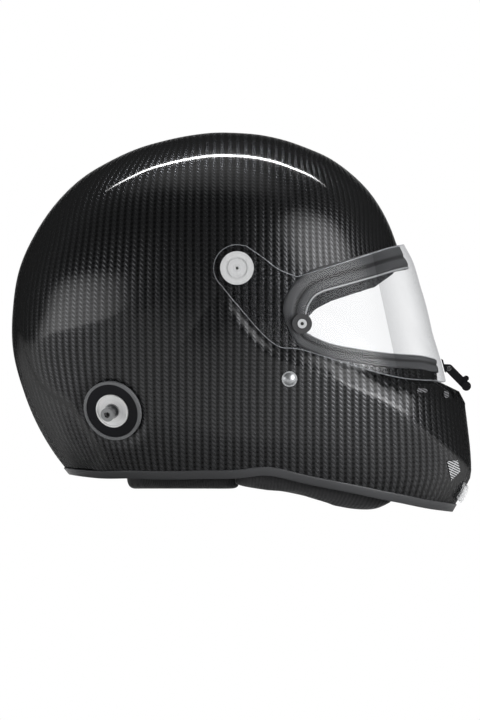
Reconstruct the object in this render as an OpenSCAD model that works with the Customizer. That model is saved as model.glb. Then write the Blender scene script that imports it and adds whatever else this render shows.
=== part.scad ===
// Full-face auto racing helmet: composite shell, hinged clear visor, rubber trims, inner liners,
// cheek pads, neck roll, chin strap and head restraint posts.
// +X points forward, +Y to the wearer's left, +Z up. The origin is at the middle of the base box.

/* [Shell] */
// Length of the shell, from the back of the head to the chin
helmet_length = 350; // [330:1:370]
// Half of the shell's width, at the visor pivots
shell_half_width = 120; // [112:0.5:126]
// Wall of the composite shell
shell_wall = 3; // [2:0.25:4]
// How boxy the shell is from side to side, where 2 is an ellipse
roundness = 2.3; // [2.1:0.05:2.5]
// How far the jaw stands proud of the visor's swing area
ledge_height = 2.5; // [1.5:0.25:4]

/* [Visor] */
// Wall of the clear visor
visor_wall = 3; // [2:0.25:3.5]
// Gap between the shell and the visor beside the pivots
visor_side_gap = 1.8; // [1.5:0.1:2.5]
// Radius of the turned pivot screw heads
pivot_head_r = 12.8; // [11:0.1:14]
// Thickness of the pivot screw heads
pivot_head_h = 2.8; // [2:0.1:4]
// Radius of the pivot screws' bearing shoulders
pivot_shoulder_r = 4.2; // [3.5:0.1:5]
// Radius of the tear-off posts
tearoff_r = 7.6; // [6:0.1:9]
// Height of the tear-off posts
tearoff_h = 3.6; // [2.5:0.1:5]

/* [Rubber] */
// Height of the base trim, measured up the shell
trim_height = 7; // [5:0.25:9]
// How far the base trim stands out from the shell
trim_proud = 1.2; // [0.8:0.1:2]
// How far the eye port seal reaches over the shell
seal_reach = 8; // [6:0.25:10]

/* [Liner] */
// Thickness of the energy absorbing liner
liner_thickness = 24; // [20:0.5:28]
// Thickness of the comfort lining over the liner
comfort_thickness = 8; // [6:0.5:10]
// Distance between the two cheek pads
cheek_span = 128; // [120:1:140]
// Height of the neck roll
neck_roll_h = 26; // [20:1:30]
// Thickness of the neck roll
neck_roll_w = 16; // [12:0.5:18]

/* [Hardware] */
// Radius of the head restraint post's head
post_head_r = 5.3; // [5:0.05:5.6]
// Length of the head restraint post's head
post_head_h = 3.6; // [3:0.1:5]
// Radius of the head restraint post's waist
post_neck_r = 3.5; // [3.2:0.05:4]
// Length of the head restraint post's waist
post_neck_h = 5; // [4:0.1:7]
// Radius of the head restraint anchor plate
anchor_plate_r = 21; // [19:0.25:23]
// Width of the chin strap webbing
strap_width = 25; // [20:0.5:28]
// Thickness of the chin strap webbing
strap_thickness = 1.8; // [1.2:0.1:2.2]

/* [Hidden] */

$fn = 64;
overrun = 60;
fine = 0.01;
clear = 0.35;
running = 0.05;

// The side view is drawn about the visor pivots: these set them off from the origin.
pivot_x = -0.01021 * helmet_length;
pivot_z = 0.53106 * helmet_length;

// Side-view outlines in polar form about the pivots: angle in degrees, radius as a share of length.
crown_profile_shares = [[-180, 0.4723], [-170, 0.4946], [-160, 0.5183], [-150, 0.5357],
    [-140, 0.5554], [-130, 0.5737], [-120, 0.585], [-105, 0.645], [-90, 0.700], [-75, 0.714],
    [-60, 0.694], [-50, 0.648], [-42, 0.587], [-36, 0.541], [-30, 0.504], [-26, 0.48],
    [-22, 0.4505], [-17.6, 0.425], [-7, 0.3857], [0, 0.370], [3, 0.3625], [8, 0.3514],
    [14, 0.3454], [20, 0.3403], [30, 0.3317], [40, 0.3214], [50, 0.312], [60, 0.3017],
    [70, 0.2963], [80, 0.2937], [90, 0.2937], [100, 0.2986], [110, 0.3063], [120, 0.3191],
    [130, 0.3383], [140, 0.3611], [150, 0.3897], [160, 0.4169], [170, 0.444], [180, 0.4723]];
jaw_profile_shares = [[-180, 0.4723], [-170, 0.4946], [-160, 0.5183], [-150, 0.5357],
    [-140, 0.5554], [-130, 0.5737], [-121, 0.5886], [-112, 0.617], [-101, 0.677], [-90, 0.731],
    [-75, 0.760], [-62, 0.7514], [-54, 0.7257], [-48.3, 0.703], [-44.6, 0.6905], [-41.7, 0.6808],
    [-40.6, 0.6708], [-38, 0.6438], [-35, 0.6134], [-32, 0.5866], [-30, 0.572], [-27, 0.552],
    [-18, 0.486], [-10, 0.43], [0, 0.38], [20, 0.345], [60, 0.3017], [90, 0.2937],
    [120, 0.3191], [150, 0.3897], [180, 0.4723]];
visor_profile_shares = [[-180, 0.52], [-150, 0.57], [-130, 0.60], [-110, 0.68], [-90, 0.74],
    [-65, 0.742], [-50, 0.672], [-39, 0.592], [-33, 0.549], [-28.4, 0.516], [-22.2, 0.4714],
    [-17.6, 0.4443], [-6.8, 0.4043], [-2, 0.392], [2.3, 0.3825], [8.2, 0.3663], [14, 0.358],
    [30, 0.352], [60, 0.349], [90, 0.357], [120, 0.371], [150, 0.43], [180, 0.52]];
cavity_profile_shares = [[-180, 0.394], [-160, 0.41], [-150, 0.405], [-140, 0.402],
    [-130, 0.408], [-120, 0.43], [-110, 0.49], [-98, 0.60], [-85, 0.66], [-70, 0.675],
    [-58, 0.655], [-48, 0.615], [-42, 0.585], [-36, 0.53], [-30, 0.43], [-22, 0.375],
    [-12, 0.32], [0, 0.286], [15, 0.262], [30, 0.253], [50, 0.234], [70, 0.218],
    [90, 0.2154], [110, 0.228], [130, 0.26], [150, 0.311], [165, 0.356], [180, 0.394]];
base_edge_shares = [[-48.3, 0.703], [-49.8, 0.683], [-55.7, 0.6095], [-63.6, 0.538],
    [-73.9, 0.479], [-81.4, 0.4515], [-88.9, 0.4517], [-101.4, 0.463], [-115.6, 0.502],
    [-124, 0.545], [-129.4, 0.5745]];
// Eye port edge from the brow round the temple to the chin: angle, and share of the shell's radius.
port_edge_shares = [[2.6, 1], [1.85, 0.92], [-1.35, 0.743], [-6.4, 0.563], [-12.9, 0.429],
    [-24.4, 0.336], [-32.8, 0.307], [-40, 0.309], [-45, 0.335], [-42.8, 0.402],
    [-35.4, 0.589], [-30.1, 0.765], [-26.5, 0.92], [-25.6, 1]];
// Ledge under the visor: outer edge's angle and share of radius, then the inner edge's.
ledge_shares = [[-104.4, 0.1325, -98.6, 0.108], [-82.7, 0.184, -76.5, 0.1815],
    [-71.4, 0.241, -66.8, 0.258], [-57.9, 0.315, -53.4, 0.345], [-50.7, 0.393, -46.3, 0.448],
    [-44.5, 0.527, -38.9, 0.6235], [-41.9, 0.594, -36, 0.73], [-38.7, 0.726, -32.1, 0.871],
    [-35.2, 0.8815, -29.9, 0.963], [-32.3, 0.96, -29.6, 0.99], [-30.6, 1, -29.4, 1]];

// Side-view outlines in shares of the length, forward and up from the pivots.
jaw_rest_shares = [[0.637, -0.291], [0.637, -0.765], [-0.493, -0.765], [-0.493, -0.287],
    [-0.189, -0.070], [-0.078, -0.033]];
visor_outline_shares = [[0.017, 0.051], [0.059, 0.022], [0.091, -0.002], [0.124, -0.015],
    [0.139, -0.016], [0.220, 0.009], [0.300, 0.035], [0.361, 0.052], [0.507, 0.070],
    [0.507, -0.246], [0.454, -0.246], [0.337, -0.235], [0.148, -0.180], [0.074, -0.161],
    [-0.038, -0.035]];
window_shares = [[0.154, -0.098], [0.204, -0.072], [0.259, -0.054], [0.300, -0.041],
    [0.339, -0.013], [0.354, 0.013], [0.615, 0.028], [0.615, -0.213], [0.443, -0.202],
    [0.339, -0.188], [0.259, -0.175], [0.178, -0.152], [0.154, -0.137]];
cheek_outline_shares = [[0.157, -0.141], [0.185, -0.159], [0.259, -0.180], [0.346, -0.193],
    [0.352, -0.330], [0.352, -0.498], [0.330, -0.509], [0.309, -0.522], [0.272, -0.526],
    [0.224, -0.521], [0.163, -0.505], [0.107, -0.493], [0.046, -0.486], [-0.0045, -0.4795],
    [-0.0045, -0.409], [0.007, -0.409], [0.007, -0.287], [0.054, -0.178]];
crown_edge_shares = [[0.151, -0.130], [0.046, -0.176], [-0.002, -0.287], [-0.002, -0.405],
    [-0.515, -0.405], [-0.515, -0.7], [0.615, -0.7], [0.615, -0.130]];
chin_liner_shares = [[0.356, -0.215], [0.448, -0.232], [0.448, -0.252], [0.615, -0.252],
    [0.615, -0.485], [0.356, -0.485]];

// Smooth curve through a table of [angle, share] rows, with even slopes at the rows.
function row(t, a, i = 0) = i >= len(t) - 2 || a <= t[i + 1][0] ? i : row(t, a, i + 1);
function slope(t, i) =
    let (n = len(t) - 1, round = t[n][0] - t[0][0] == 360,
        p = i > 0 ? t[i - 1] : round ? t[n - 1] - [360, 0] : t[0],
        q = i < n ? t[i + 1] : round ? t[1] + [360, 0] : t[n])
    (q[1] - p[1]) / (q[0] - p[0]);
function lookup_smooth(t, a) =
    let (i = row(t, a), h = t[i + 1][0] - t[i][0], u = (a - t[i][0]) / h, v = 1 - u)
    (1 + 2 * u) * v * v * t[i][1] + u * v * v * h * slope(t, i)
    + u * u * (3 - 2 * u) * t[i + 1][1] - u * u * v * h * slope(t, i + 1);
function reach(t, a) = helmet_length * lookup_smooth(t, a);

// The jaw rises from under the crown surface at the back to its full height beside the visor.
jaw_sink_share = 0.3;
jaw_rise_from = -140;
jaw_rise_to = -95;
function ease(u) = u <= 0 ? 0 : u >= 1 ? 1 : u * u * (3 - 2 * u);
function jaw_rise(a) = ledge_height
    * ((1 + jaw_sink_share) * ease((a - jaw_rise_from) / (jaw_rise_to - jaw_rise_from)) - jaw_sink_share);

// A point of a form, at angle a and station s, where s is 90 on the centre plane and 0 at a pivot.
// A form is [profile, half width, offset of the profile, whether the jaw's rise is added].
function share_at(s) = pow(sin(s), 2 / roundness);
function side_at(s) = sign(cos(s)) * pow(abs(cos(s)), 2 / roundness);
function station_of(share) = asin(pow(min(1, share), roundness / 2));
function half_width(form, a) = form[1] + (form[3] ? jaw_rise(a) : 0);
function radius(form, a) = reach(form[0], a) + form[2];
function at(form, a, s) =
    let (r = radius(form, a) * share_at(s))
    [pivot_x + r * cos(a), -half_width(form, a) * side_at(s), pivot_z + r * sin(a)];
function form(profile, width, offset, jaw = false) = [profile, width + offset, offset, jaw];

crown_form = form(crown_profile_shares, shell_half_width, 0);
jaw_form = form(jaw_profile_shares, shell_half_width, 0, true);
visor_form = [visor_profile_shares, shell_half_width + visor_side_gap + visor_wall, 0, false];

// Outward direction of a form at a point, from how its equation changes across a short step.
probe = 0.001 * helmet_length;
function level(form, p) =
    let (x = p[0] - pivot_x, z = p[2] - pivot_z, a = atan2(z, x))
    pow(norm([x, z]) / radius(form, a), roundness)
    + pow(abs(p[1]) / half_width(form, a), roundness);
function unit(v) = v / norm(v);
function gradient(form, p) = [for (d = [[1, 0, 0], [0, 1, 0], [0, 0, 1]])
    (level(form, p + probe * d) - level(form, p - probe * d)) / (2 * probe)];
function outward(form, p) = unit(gradient(form, p));
// Moves a place near a form onto it.
function onto(form, p) =
    let (g = gradient(form, p))
    p + (1 - level(form, p)) / (g * g) * g;
// Point of a form seen at a side-view place, on the right-hand side.
function on_side(form, x, z) =
    let (a = atan2(z, x))
    at(form, a, station_of(norm([x, z]) / radius(form, a)));

// Closed solid of a form, from its own list of angles and a number of stations per side.
module solid_form(form, angles, stations) {
    n = len(angles);
    m = 2 * stations - 1;
    poles = [[pivot_x, -half_width(form, 0), pivot_z], [pivot_x, half_width(form, 0), pivot_z]];
    points = concat(poles, [for (j = [1:m], a = angles) at(form, a, 90 * j / stations)]);
    function k(j, i) = 2 + (j - 1) * n + i % n;
    faces = concat(
        [for (i = [0:n - 1]) [0, k(1, i + 1), k(1, i)]],
        [for (j = [1:m - 1], i = [0:n - 1]) each
            [[k(j, i), k(j, i + 1), k(j + 1, i + 1)], [k(j, i), k(j + 1, i + 1), k(j + 1, i)]]],
        [for (i = [0:n - 1]) [1, k(m, i), k(m, i + 1)]]);
    polyhedron(points, faces);
}
function angles(from, to, step, coarse) = concat(
    [for (a = [from:step:to - step / 2]) a],
    [for (a = [to:coarse:from + 360 - coarse / 2]) a > 180 ? a - 360 : a]);

// Prism across the helmet over a side-view outline given in shares.
module across_plain(points) {
    translate([pivot_x, 0, pivot_z])
        rotate([90, 0, 0])
            linear_extrude(2 * (shell_half_width + overrun), center = true)
                polygon(points);
}

// Edge loops. Each gives [angle, station] pairs round the whole helmet, then points on the jaw.
edge_steps = 36;
function base_angle(u) =
    let (a = base_edge_shares[0][0], b = base_edge_shares[len(base_edge_shares) - 1][0])
    (a + b) / 2 + (a - b) / 2 * cos(u);
function base_radius(a) = helmet_length * lookup_smooth([for (q = base_edge_shares) [-q[0], q[1]]], -a);
function base_point(form, u) =
    let (a = base_angle(u), s = station_of(base_radius(a) / radius(jaw_form, a)))
    at(form, a, u <= 180 ? s : 180 - s);
function spline(p, q, r, t, u) = 0.5 * (2 * q + (r - p) * u + (2 * p - 5 * q + 4 * r - t) * u * u
    + (3 * q - p - 3 * r + t) * u * u * u);
port_knots = [for (q = port_edge_shares) [q[0], station_of(q[1])]];
port_last = len(port_knots) - 1;
function port_knot(i) = i < 0 ? [port_knots[-i][0], 180 - port_knots[-i][1]]
    : i > port_last ? [port_knots[2 * port_last - i][0], 180 - port_knots[2 * port_last - i][1]]
    : port_knots[i];
port_steps = 2;
function port_pair(k) =
    let (i = floor(k / port_steps), u = k / port_steps - i)
    spline(port_knot(i - 1), port_knot(i), port_knot(i + 1), port_knot(i + 2), u);
port_count = port_last * port_steps;
port_loop = [for (k = [0:port_count]) port_pair(k)];
port_side = [for (q = port_loop)
    let (r = radius(crown_form, q[0]) * share_at(q[1])) [r * cos(q[0]), r * sin(q[0])]];

module port_prism() {
    top = port_side[0];
    bottom = port_side[port_count];
    far = helmet_length;
    across_plain(concat(port_side, [[far, bottom[1]], [far, top[1]]]));
}
// Closed tube through rings of points, each ring given in order.
function reversed(v) = [for (i = [len(v) - 1:-1:0]) v[i]];
function total(v) = v * [for (x = v) 1];
module rings(list, closed = true) {
    n = len(list);
    m = len(list[0]);
    points = [for (r = list) each r];
    sides = [for (i = [0:closed ? n - 1 : n - 2], j = [0:m - 1])
        let (a = i * m, b = ((i + 1) % n) * m, k = (j + 1) % m)
        each [[a + j, b + j, b + k], [a + j, b + k, a + k]]];
    fan = [for (j = [1:m - 2]) [0, j, j + 1]];
    caps = closed ? [] : concat(fan, [for (f = fan) reversed(f) + (n - 1) * m * [1, 1, 1]]);
    faces = concat(sides, caps);
    turn = total([for (f = faces) points[f[0]] * cross(points[f[1]], points[f[2]])]);
    polyhedron(points, turn > 0 ? [for (f = faces) reversed(f)] : faces);
}
// Section points set at a loop point: first value outward, second across the loop on the surface.
function section_at(form, p, q, points) =
    let (d = unit(cross(outward(form, p), q - p)))
    [for (c = points)
        let (f = onto(form, onto(form, p + c[1] * d)))
        f + c[0] * outward(form, f)];

// Everything under the base edge, cut square to the surface
module below_base() {
    n = 2 * edge_steps;
    loop = [for (i = [0:n - 1]) base_point(jaw_form, 360 * i / n)];
    out = [for (p = loop) p + 3 * shell_wall * outward(jaw_form, p)];
    rings([[for (p = loop) p - 3 * shell_wall * outward(jaw_form, p)], out,
        [for (p = out) [p[0], p[1], -2 * overrun]]], closed = false);
}

// Outer shell
crown_angles = angles(-48, 174, 6, 9);
jaw_angles = angles(-150, -24, 6, 17);
inner_angles = angles(-180, 180, 9, 9);
shell_stations = 12;
inner_stations = 8;
// Space inside the shell, from a depth under its inner face
ledge_drop = shell_wall + ledge_height;
module inside(depth, crown_list = inner_angles, jaw_list = inner_jaw_angles) {
    sink = -shell_wall - depth;
    solid_form(form(crown_profile_shares, shell_half_width, sink), crown_list, inner_stations);
    intersection() {
        solid_form(form(jaw_profile_shares, shell_half_width, sink, true), jaw_list, inner_stations);
        across_plain([for (q = jaw_outline) q - [0, ledge_drop + depth]]);
    }
}
inner_jaw_angles = angles(-132, -33, 9, 29);

// Places in the side view, forward and up from the pivots
anchor_at = [-0.2714, -0.3106] * helmet_length;
rivet_at = [0.114, -0.2413] * helmet_length;
tearoff_at = [0.140, -0.1209] * helmet_length;
anchor_depth = 2.2;
anchor_point = on_side(crown_form, anchor_at[0], anchor_at[1]);
rivet_point = on_side(jaw_form, rivet_at[0], rivet_at[1]);
tearoff_point = on_side(visor_form, tearoff_at[0], tearoff_at[1]);
pivot_point = [pivot_x, -shell_half_width, pivot_z];

// Puts children at a right-hand place, their +Z pointing out, and mirrors them for the left.
module seat(form, p, left = false) {
    n = outward(form, p);
    mirror([0, left ? 1 : 0, 0])
        translate(p)
            rotate([0, acos(n[2]), atan2(n[1], n[0])])
                children();
}
module both(form, p) {
    for (left = [false, true]) seat(form, p, left) children();
}
module pivot_seat(left = false) {
    mirror([0, left ? 1 : 0, 0])
        translate(pivot_point)
            rotate([90, 0, 0])
                children();
}
module bar(r, from, to) {
    translate([0, 0, from]) cylinder(r = r, h = to - from);
}
module ring(outer, inner, from, to) {
    difference() {
        bar(outer, from, to);
        bar(inner, from - overrun, to + overrun);
    }
}

boss_r = 25.5;
boss_depth = 5.6;
recess_w = 2.8;
recess_r = anchor_plate_r + recess_w;
shank_r = 3;
shank_clear = 0.3;
rivet_r = 2.4;
insert_r = 5.5;
insert_depth = 9;
function ledge_a(q) = at(jaw_form, q[0], station_of(q[1]));
function ledge_b(q) = at(crown_form, q[2], station_of(q[3]));
function ledge_up(q) = unit(outward(jaw_form, ledge_a(q)) + outward(crown_form, ledge_b(q)));
function ledge_crest(q) = (ledge_a(q) + ledge_b(q)) / 2
    + ledge_crown * q[1] * q[1] * norm(ledge_a(q) - ledge_b(q)) * ledge_up(q);
module ledge() {
    side = [for (q = ledge_shares)
        let (a = ledge_a(q), b = ledge_b(q), n = outward(jaw_form, a), m = outward(crown_form, b),
            low = at(jaw_form, q[0] - ledge_lap, station_of(q[1])),
            back = at(crown_form, q[2] - ledge_turn, station_of(q[3])))
        [a - fine * n, ledge_crest(q), b - ledge_sink * m, b - ledge_root * m,
            back - ledge_root * m, low - ledge_root * n]];
    far = len(side) - 1;
    function flip(r) = [for (p = r) [p[0], -p[1], p[2]]];
    rings(concat(side, [for (i = [far - 1:-1:0]) flip(side[i])]), closed = false);
}
ledge_sink = 0.4;
ledge_root = 7;
ledge_lap = 3;
ledge_turn = 7;
ledge_crown = 0.22;
jaw_outline = concat([for (q = ledge_shares) radius(jaw_form, q[0]) * q[1] * [cos(q[0]), sin(q[0])]],
    helmet_length * jaw_rest_shares);

module outer_shell() {
    color("#26282b")
        difference() {
            union() {
                difference() {
                    union() {
                        solid_form(crown_form, crown_angles, shell_stations);
                        intersection() {
                            solid_form(jaw_form, jaw_angles, shell_stations);
                            across_plain(jaw_outline);
                        }
                        ledge();
                    }
                    inside(0);
                }
                both(crown_form, anchor_point) bar(boss_r, -boss_depth, -anchor_depth);
            }
            port_prism();
            below_base();
            both(crown_form, anchor_point) {
                bar(recess_r, -anchor_depth, overrun);
                bar(shank_r + shank_clear, -overrun / 2, overrun);
            }
            both(jaw_form, rivet_point) bar(rivet_r + running, -overrun / 4, overrun);
            for (left = [false, true])
                pivot_seat(left) bar(insert_r + running, -overrun / 4, overrun);
            catch_seat() bar(catch_r + running, -overrun / 4, overrun);
        }
}

// Rubber trim round the base: a channel that the shell's edge sits in
trim_lip = 1.6;
trim_sole = 1.8;
module base_trim() {
    n = 2 * edge_steps;
    up = trim_sole - trim_height;
    back = -shell_wall - 3 * clear;
    section = [[trim_proud, trim_sole], [trim_proud, up], [clear, up], [clear, clear],
        [back, clear], [back, up], [back - trim_lip, up], [back - trim_lip, trim_sole]];
    color("#3c3d3f")
        rings([for (i = [0:n - 1])
            section_at(jaw_form, base_point(jaw_form, 360 * i / n),
                base_point(jaw_form, 360 * (i + 1) / n), section)]);
}

// Rubber seal round the eye port, flat on the shell with a leg through the opening
seal_rise = 1;
seal_crown = 0.5;
seal_leg = 3;
seal_brow = 4.2;
brow_low = -0.150 * helmet_length;
brow_high = -0.080 * helmet_length;
function port_point(q) = at(crown_form, q[0], q[1]);
module port_seal() {
    right = [for (q = port_loop) port_point(q)];
    loop = concat(right, [for (i = [port_count - 1:-1:1])
        [right[i][0], -right[i][1], right[i][2]]]);
    n = len(loop);
    color("#55575a")
        rings([for (i = [0:n - 1])
            let (w = max(0, 1 - abs(loop[i][1]) / shell_half_width),
                top = seal_rise + seal_crown * w,
                wide = seal_brow * ease((loop[i][2] - pivot_z - brow_low) / (brow_high - brow_low)),
                leg = seal_leg + wide, far = -seal_reach - wide)
            section_at(crown_form, loop[i], loop[(i + 1) % n],
                [[1.5 * clear, far], [1.5 * clear, far / 2], [1.5 * clear, 1.5 * clear],
                    [-0.8 * shell_wall, 4 * clear], [-0.8 * shell_wall, leg], [top, leg],
                    [top, far / 2], [top, far]])]);
}

// Clear visor with an ear round each pivot
ear_r = 0.0515 * helmet_length;
visor_angles = angles(-54, 21, 5, 19);
visor_stations = 14;
module visor() {
    inner = [visor_profile_shares, shell_half_width + visor_side_gap, -visor_wall, false];
    color("#cfd8dc", 0.4)
        difference() {
            intersection() {
                difference() {
                    solid_form(visor_form, visor_angles, visor_stations);
                    solid_form(inner, visor_angles, visor_stations);
                }
                union() {
                    across_plain(helmet_length * visor_outline_shares);
                    for (left = [false, true])
                        pivot_seat(left) bar(ear_r, -overrun, overrun);
                }
            }
            for (left = [false, true])
                pivot_seat(left) bar(pivot_shoulder_r + running, -overrun / 2, overrun / 2);
            both(visor_form, tearoff_point)
                bar(tearoff_shank_r + running, -overrun / 4, overrun / 4);
        }
}

// Visor pivots: insert in the shell, washer, and a turned screw whose shoulder carries the visor
pivot_thread_r = 2.5;
washer_r = 0.86 * pivot_head_r;
washer_face = visor_side_gap - 2 * clear;
visor_face = visor_side_gap + visor_wall;
module pivot_screw(left) {
    head = visor_face + clear;
    groove_r = 0.57 * pivot_head_r;
    groove_w = 0.05 * pivot_head_r;
    dimple_r = 0.12 * pivot_head_r;
    color("#c9cbce") pivot_seat(left) difference() {
        union() {
            bar(pivot_head_r, head, head + pivot_head_h);
            bar(pivot_shoulder_r, washer_face - clear, head);
            bar(pivot_thread_r, -insert_depth + clear, washer_face);
        }
        ring(groove_r + groove_w, groove_r, head + 0.7 * pivot_head_h, overrun);
        bar(dimple_r, head + 0.4 * pivot_head_h, overrun);
    }
}
module pivot_washer(left) {
    color("#1d1d1f") pivot_seat(left) ring(washer_r, pivot_shoulder_r + clear, 2 * fine, washer_face);
}
module pivot_insert(left) {
    color("#b08d57") pivot_seat(left) ring(insert_r, pivot_thread_r + running, -insert_depth, 0);
}

// Tear-off film posts on the visor
tearoff_shank_r = 2;
tearoff_screw_r = 3.5;
tearoff_screw_h = 1.2;
module tearoff_post(left) {
    rim = 0.28 * tearoff_h;
    color("#141416") seat(visor_form, tearoff_point, left) difference() {
        union() {
            bar(tearoff_r, fine, rim);
            bar(0.72 * tearoff_r, fine, tearoff_h);
            bar(tearoff_r, tearoff_h - rim, tearoff_h);
        }
        bar(tearoff_shank_r + running, -overrun, overrun);
        bar(tearoff_screw_r + clear, tearoff_h - tearoff_screw_h / 2, overrun);
    }
}
module tearoff_screw(left) {
    top = tearoff_h + tearoff_screw_h / 2;
    color("#c4c6c8") seat(visor_form, tearoff_point, left) difference() {
        union() {
            bar(tearoff_screw_r, tearoff_h - tearoff_screw_h / 2 + fine, top);
            bar(tearoff_shank_r, -visor_wall + clear, top - tearoff_screw_h / 2);
        }
        translate([0, 0, top - 0.6 * tearoff_screw_h])
            cylinder(r = 0.45 * tearoff_screw_r, h = overrun, $fn = 6);
    }
}

// Visor latch: bracket on the visor, lever on its pin, and a catch on the chin
latch_w = 12;
latch_fork = 2.4;
latch_pin_r = 1.5;
latch_pin_at = [0.461, -0.2185] * helmet_length;
latch_ball_at = [0.4985, -0.2567] * helmet_length;
latch_knob_at = [0.498, -0.240] * helmet_length;
latch_arm_r = 3.2;
latch_ball_r = 3.6;
latch_knob_r = 2.2;
latch_eye_r = 3.2;
module slab(at, r, from, to) {
    translate([pivot_x + at[0], to, pivot_z + at[1]])
        rotate([90, 0, 0])
            cylinder(r = r, h = to - from);
}
bracket_from = -24;
bracket_to = -26.6;
bracket_t = 1.6;
module latch_bracket() {
    steps = 5;
    function edge(i, d) =
        let (a = bracket_from + (bracket_to - bracket_from) * i / steps,
            r = reach(visor_profile_shares, a) + d)
        [r * cos(a), r * sin(a)];
    lift = 0.6;
    plate = concat([for (i = [0:steps]) edge(i, lift)],
        [for (i = [steps:-1:0]) edge(i, lift + bracket_t)]);
    lug = [edge(2, lift), edge(steps - 1, lift),
        latch_pin_at + [0.3, -1] * latch_eye_r, latch_pin_at + [0.3, 1] * latch_eye_r];
    ear = latch_w / 2 - latch_fork;
    color("#17181a") difference() {
        union() {
            across_band(plate, -0.7 * latch_w, 0.7 * latch_w);
            for (side = [-1, 1])
                across_band(lug, min(side * ear, side * latch_w / 2), max(side * ear, side * latch_w / 2));
            for (side = [-1, 1])
                slab(latch_pin_at, latch_eye_r, min(side * ear, side * latch_w / 2),
                    max(side * ear, side * latch_w / 2));
        }
        slab(latch_pin_at, latch_pin_r + running, -overrun, overrun);
        slab(latch_pin_at, latch_arm_r + clear, -ear, ear);
    }
}
module across_band(points, from, to) {
    translate([pivot_x, to, pivot_z])
        rotate([90, 0, 0])
            linear_extrude(to - from)
                polygon(points);
}
module latch_pin() {
    color("#8f9295") slab(latch_pin_at, latch_pin_r, -latch_w / 2 - clear, latch_w / 2 + clear);
}
module latch_lever() {
    wide = latch_w / 2 - latch_fork - clear;
    run = unit(latch_ball_at - latch_pin_at);
    side = [-run[1], run[0]] * latch_arm_r;
    latch_foot = (latch_pin_at + latch_ball_at) / 2;
    stem = 0.8 * latch_knob_r * run;
    color("#202124") difference() {
        union() {
            across_band([latch_pin_at + side, latch_ball_at + side, latch_ball_at - side,
                latch_pin_at - side], -wide, wide);
            slab(latch_pin_at, latch_arm_r, -wide, wide);
            slab(latch_ball_at, latch_ball_r, -latch_w / 2, latch_w / 2);
            slab(latch_knob_at, latch_knob_r, -latch_w / 3, latch_w / 3);
            across_band([latch_knob_at - stem, latch_knob_at + stem, latch_foot + stem,
                latch_foot - stem], -wide, wide);
        }
        slab(latch_pin_at, latch_pin_r + running, -overrun, overrun);
    }
}
catch_at = [0.468, -0.279] * helmet_length;
catch_lean = 45;
catch_r = 3.2;
catch_h = 4.6;
module catch_seat() {
    translate([pivot_x + catch_at[0], 0, pivot_z + catch_at[1]])
        rotate([0, catch_lean, 0])
            children();
}
module latch_catch() {
    color("#17181a") catch_seat() bar(catch_r, -catch_h, catch_h);
}

// Head restraint anchors
dish_r = 13;
dish_h = 2.6;
gasket_r = anchor_plate_r + clear / 2;
gasket_w = 2.2;
gasket_h = 2.6;
plate_h = 2;
dish_rim = 1.2;
collar_r = 5.7;
collar_h = 1.5;
floor_z = -anchor_depth;
dish_top = floor_z + dish_h;
nut_flange_r = 11;
nut_flange_h = 1.6;
nut_h = 4;
nut_r = 6;
nut_z = -boss_depth - nut_flange_h;
module anchor_gasket(left) {
    color("#6d6f72") seat(crown_form, anchor_point, left)
        ring(gasket_r + gasket_w, gasket_r, floor_z, floor_z + gasket_h);
}
module anchor_plate(left) {
    color("#131315") seat(crown_form, anchor_point, left)
        ring(anchor_plate_r, dish_r + clear / 2, floor_z, floor_z + plate_h);
}
module anchor_dish(left) {
    color("#e3e5e7") seat(crown_form, anchor_point, left) difference() {
        bar(dish_r, floor_z, dish_top + 0.5 * dish_rim);
        bar(dish_r - dish_rim, dish_top - 0.3 * dish_rim, overrun);
        bar(shank_r + clear, -overrun, overrun);
    }
}
module anchor_post(left) {
    base = dish_top - 0.3 * dish_rim;
    top = base + collar_h + post_neck_h + post_head_h;
    socket_r = 2.6;
    color("#b9bcc0") seat(crown_form, anchor_point, left) difference() {
        union() {
            bar(collar_r, base, base + collar_h);
            bar(post_neck_r, base, top - fine);
            bar(post_head_r, top - post_head_h, top);
            bar(shank_r, nut_z - nut_h, base);
        }
        translate([0, 0, top - 0.7 * post_head_h])
            cylinder(r = socket_r, h = overrun, $fn = 6);
    }
}
module anchor_nut(left) {
    color("#8a8d91") seat(crown_form, anchor_point, left) difference() {
        union() {
            bar(nut_flange_r, nut_z, -boss_depth);
            translate([0, 0, nut_z - nut_h]) cylinder(r = nut_r, h = nut_h, $fn = 6);
        }
        bar(shank_r + running, -overrun, overrun);
    }
}

// Chin strap, riveted through the jaw on each side
rivet_ring_r = 5.9;
rivet_ring_h = 0.9;
rivet_dome_r = 4.9;
rivet_dome_h = 2.2;
plate_t = 1.2;
strap_gap = 2.6;
strap_depth = shell_wall + strap_gap;
plate_r = 0.3 * strap_width;
plate_z = -strap_depth - strap_thickness - 2 * clear;
module strap_rivet(left) {
    ball = (rivet_dome_r * rivet_dome_r + rivet_dome_h * rivet_dome_h) / (2 * rivet_dome_h);
    tail = plate_z - plate_t - clear / 2;
    color("#c9cbce") seat(jaw_form, rivet_point, left) union() {
        bar(rivet_ring_r, running, rivet_ring_h);
        intersection() {
            translate([0, 0, rivet_ring_h + rivet_dome_h - ball]) sphere(r = ball);
            bar(rivet_dome_r, rivet_ring_h / 2, overrun);
        }
        bar(rivet_r, tail, rivet_ring_h);
        bar(1.8 * rivet_r, tail - plate_t, tail);
    }
}
module strap_plate(left) {
    color("#8f9295") seat(jaw_form, rivet_point, left)
        ring(plate_r, rivet_r + running, plate_z - plate_t, plate_z);
}
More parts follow.
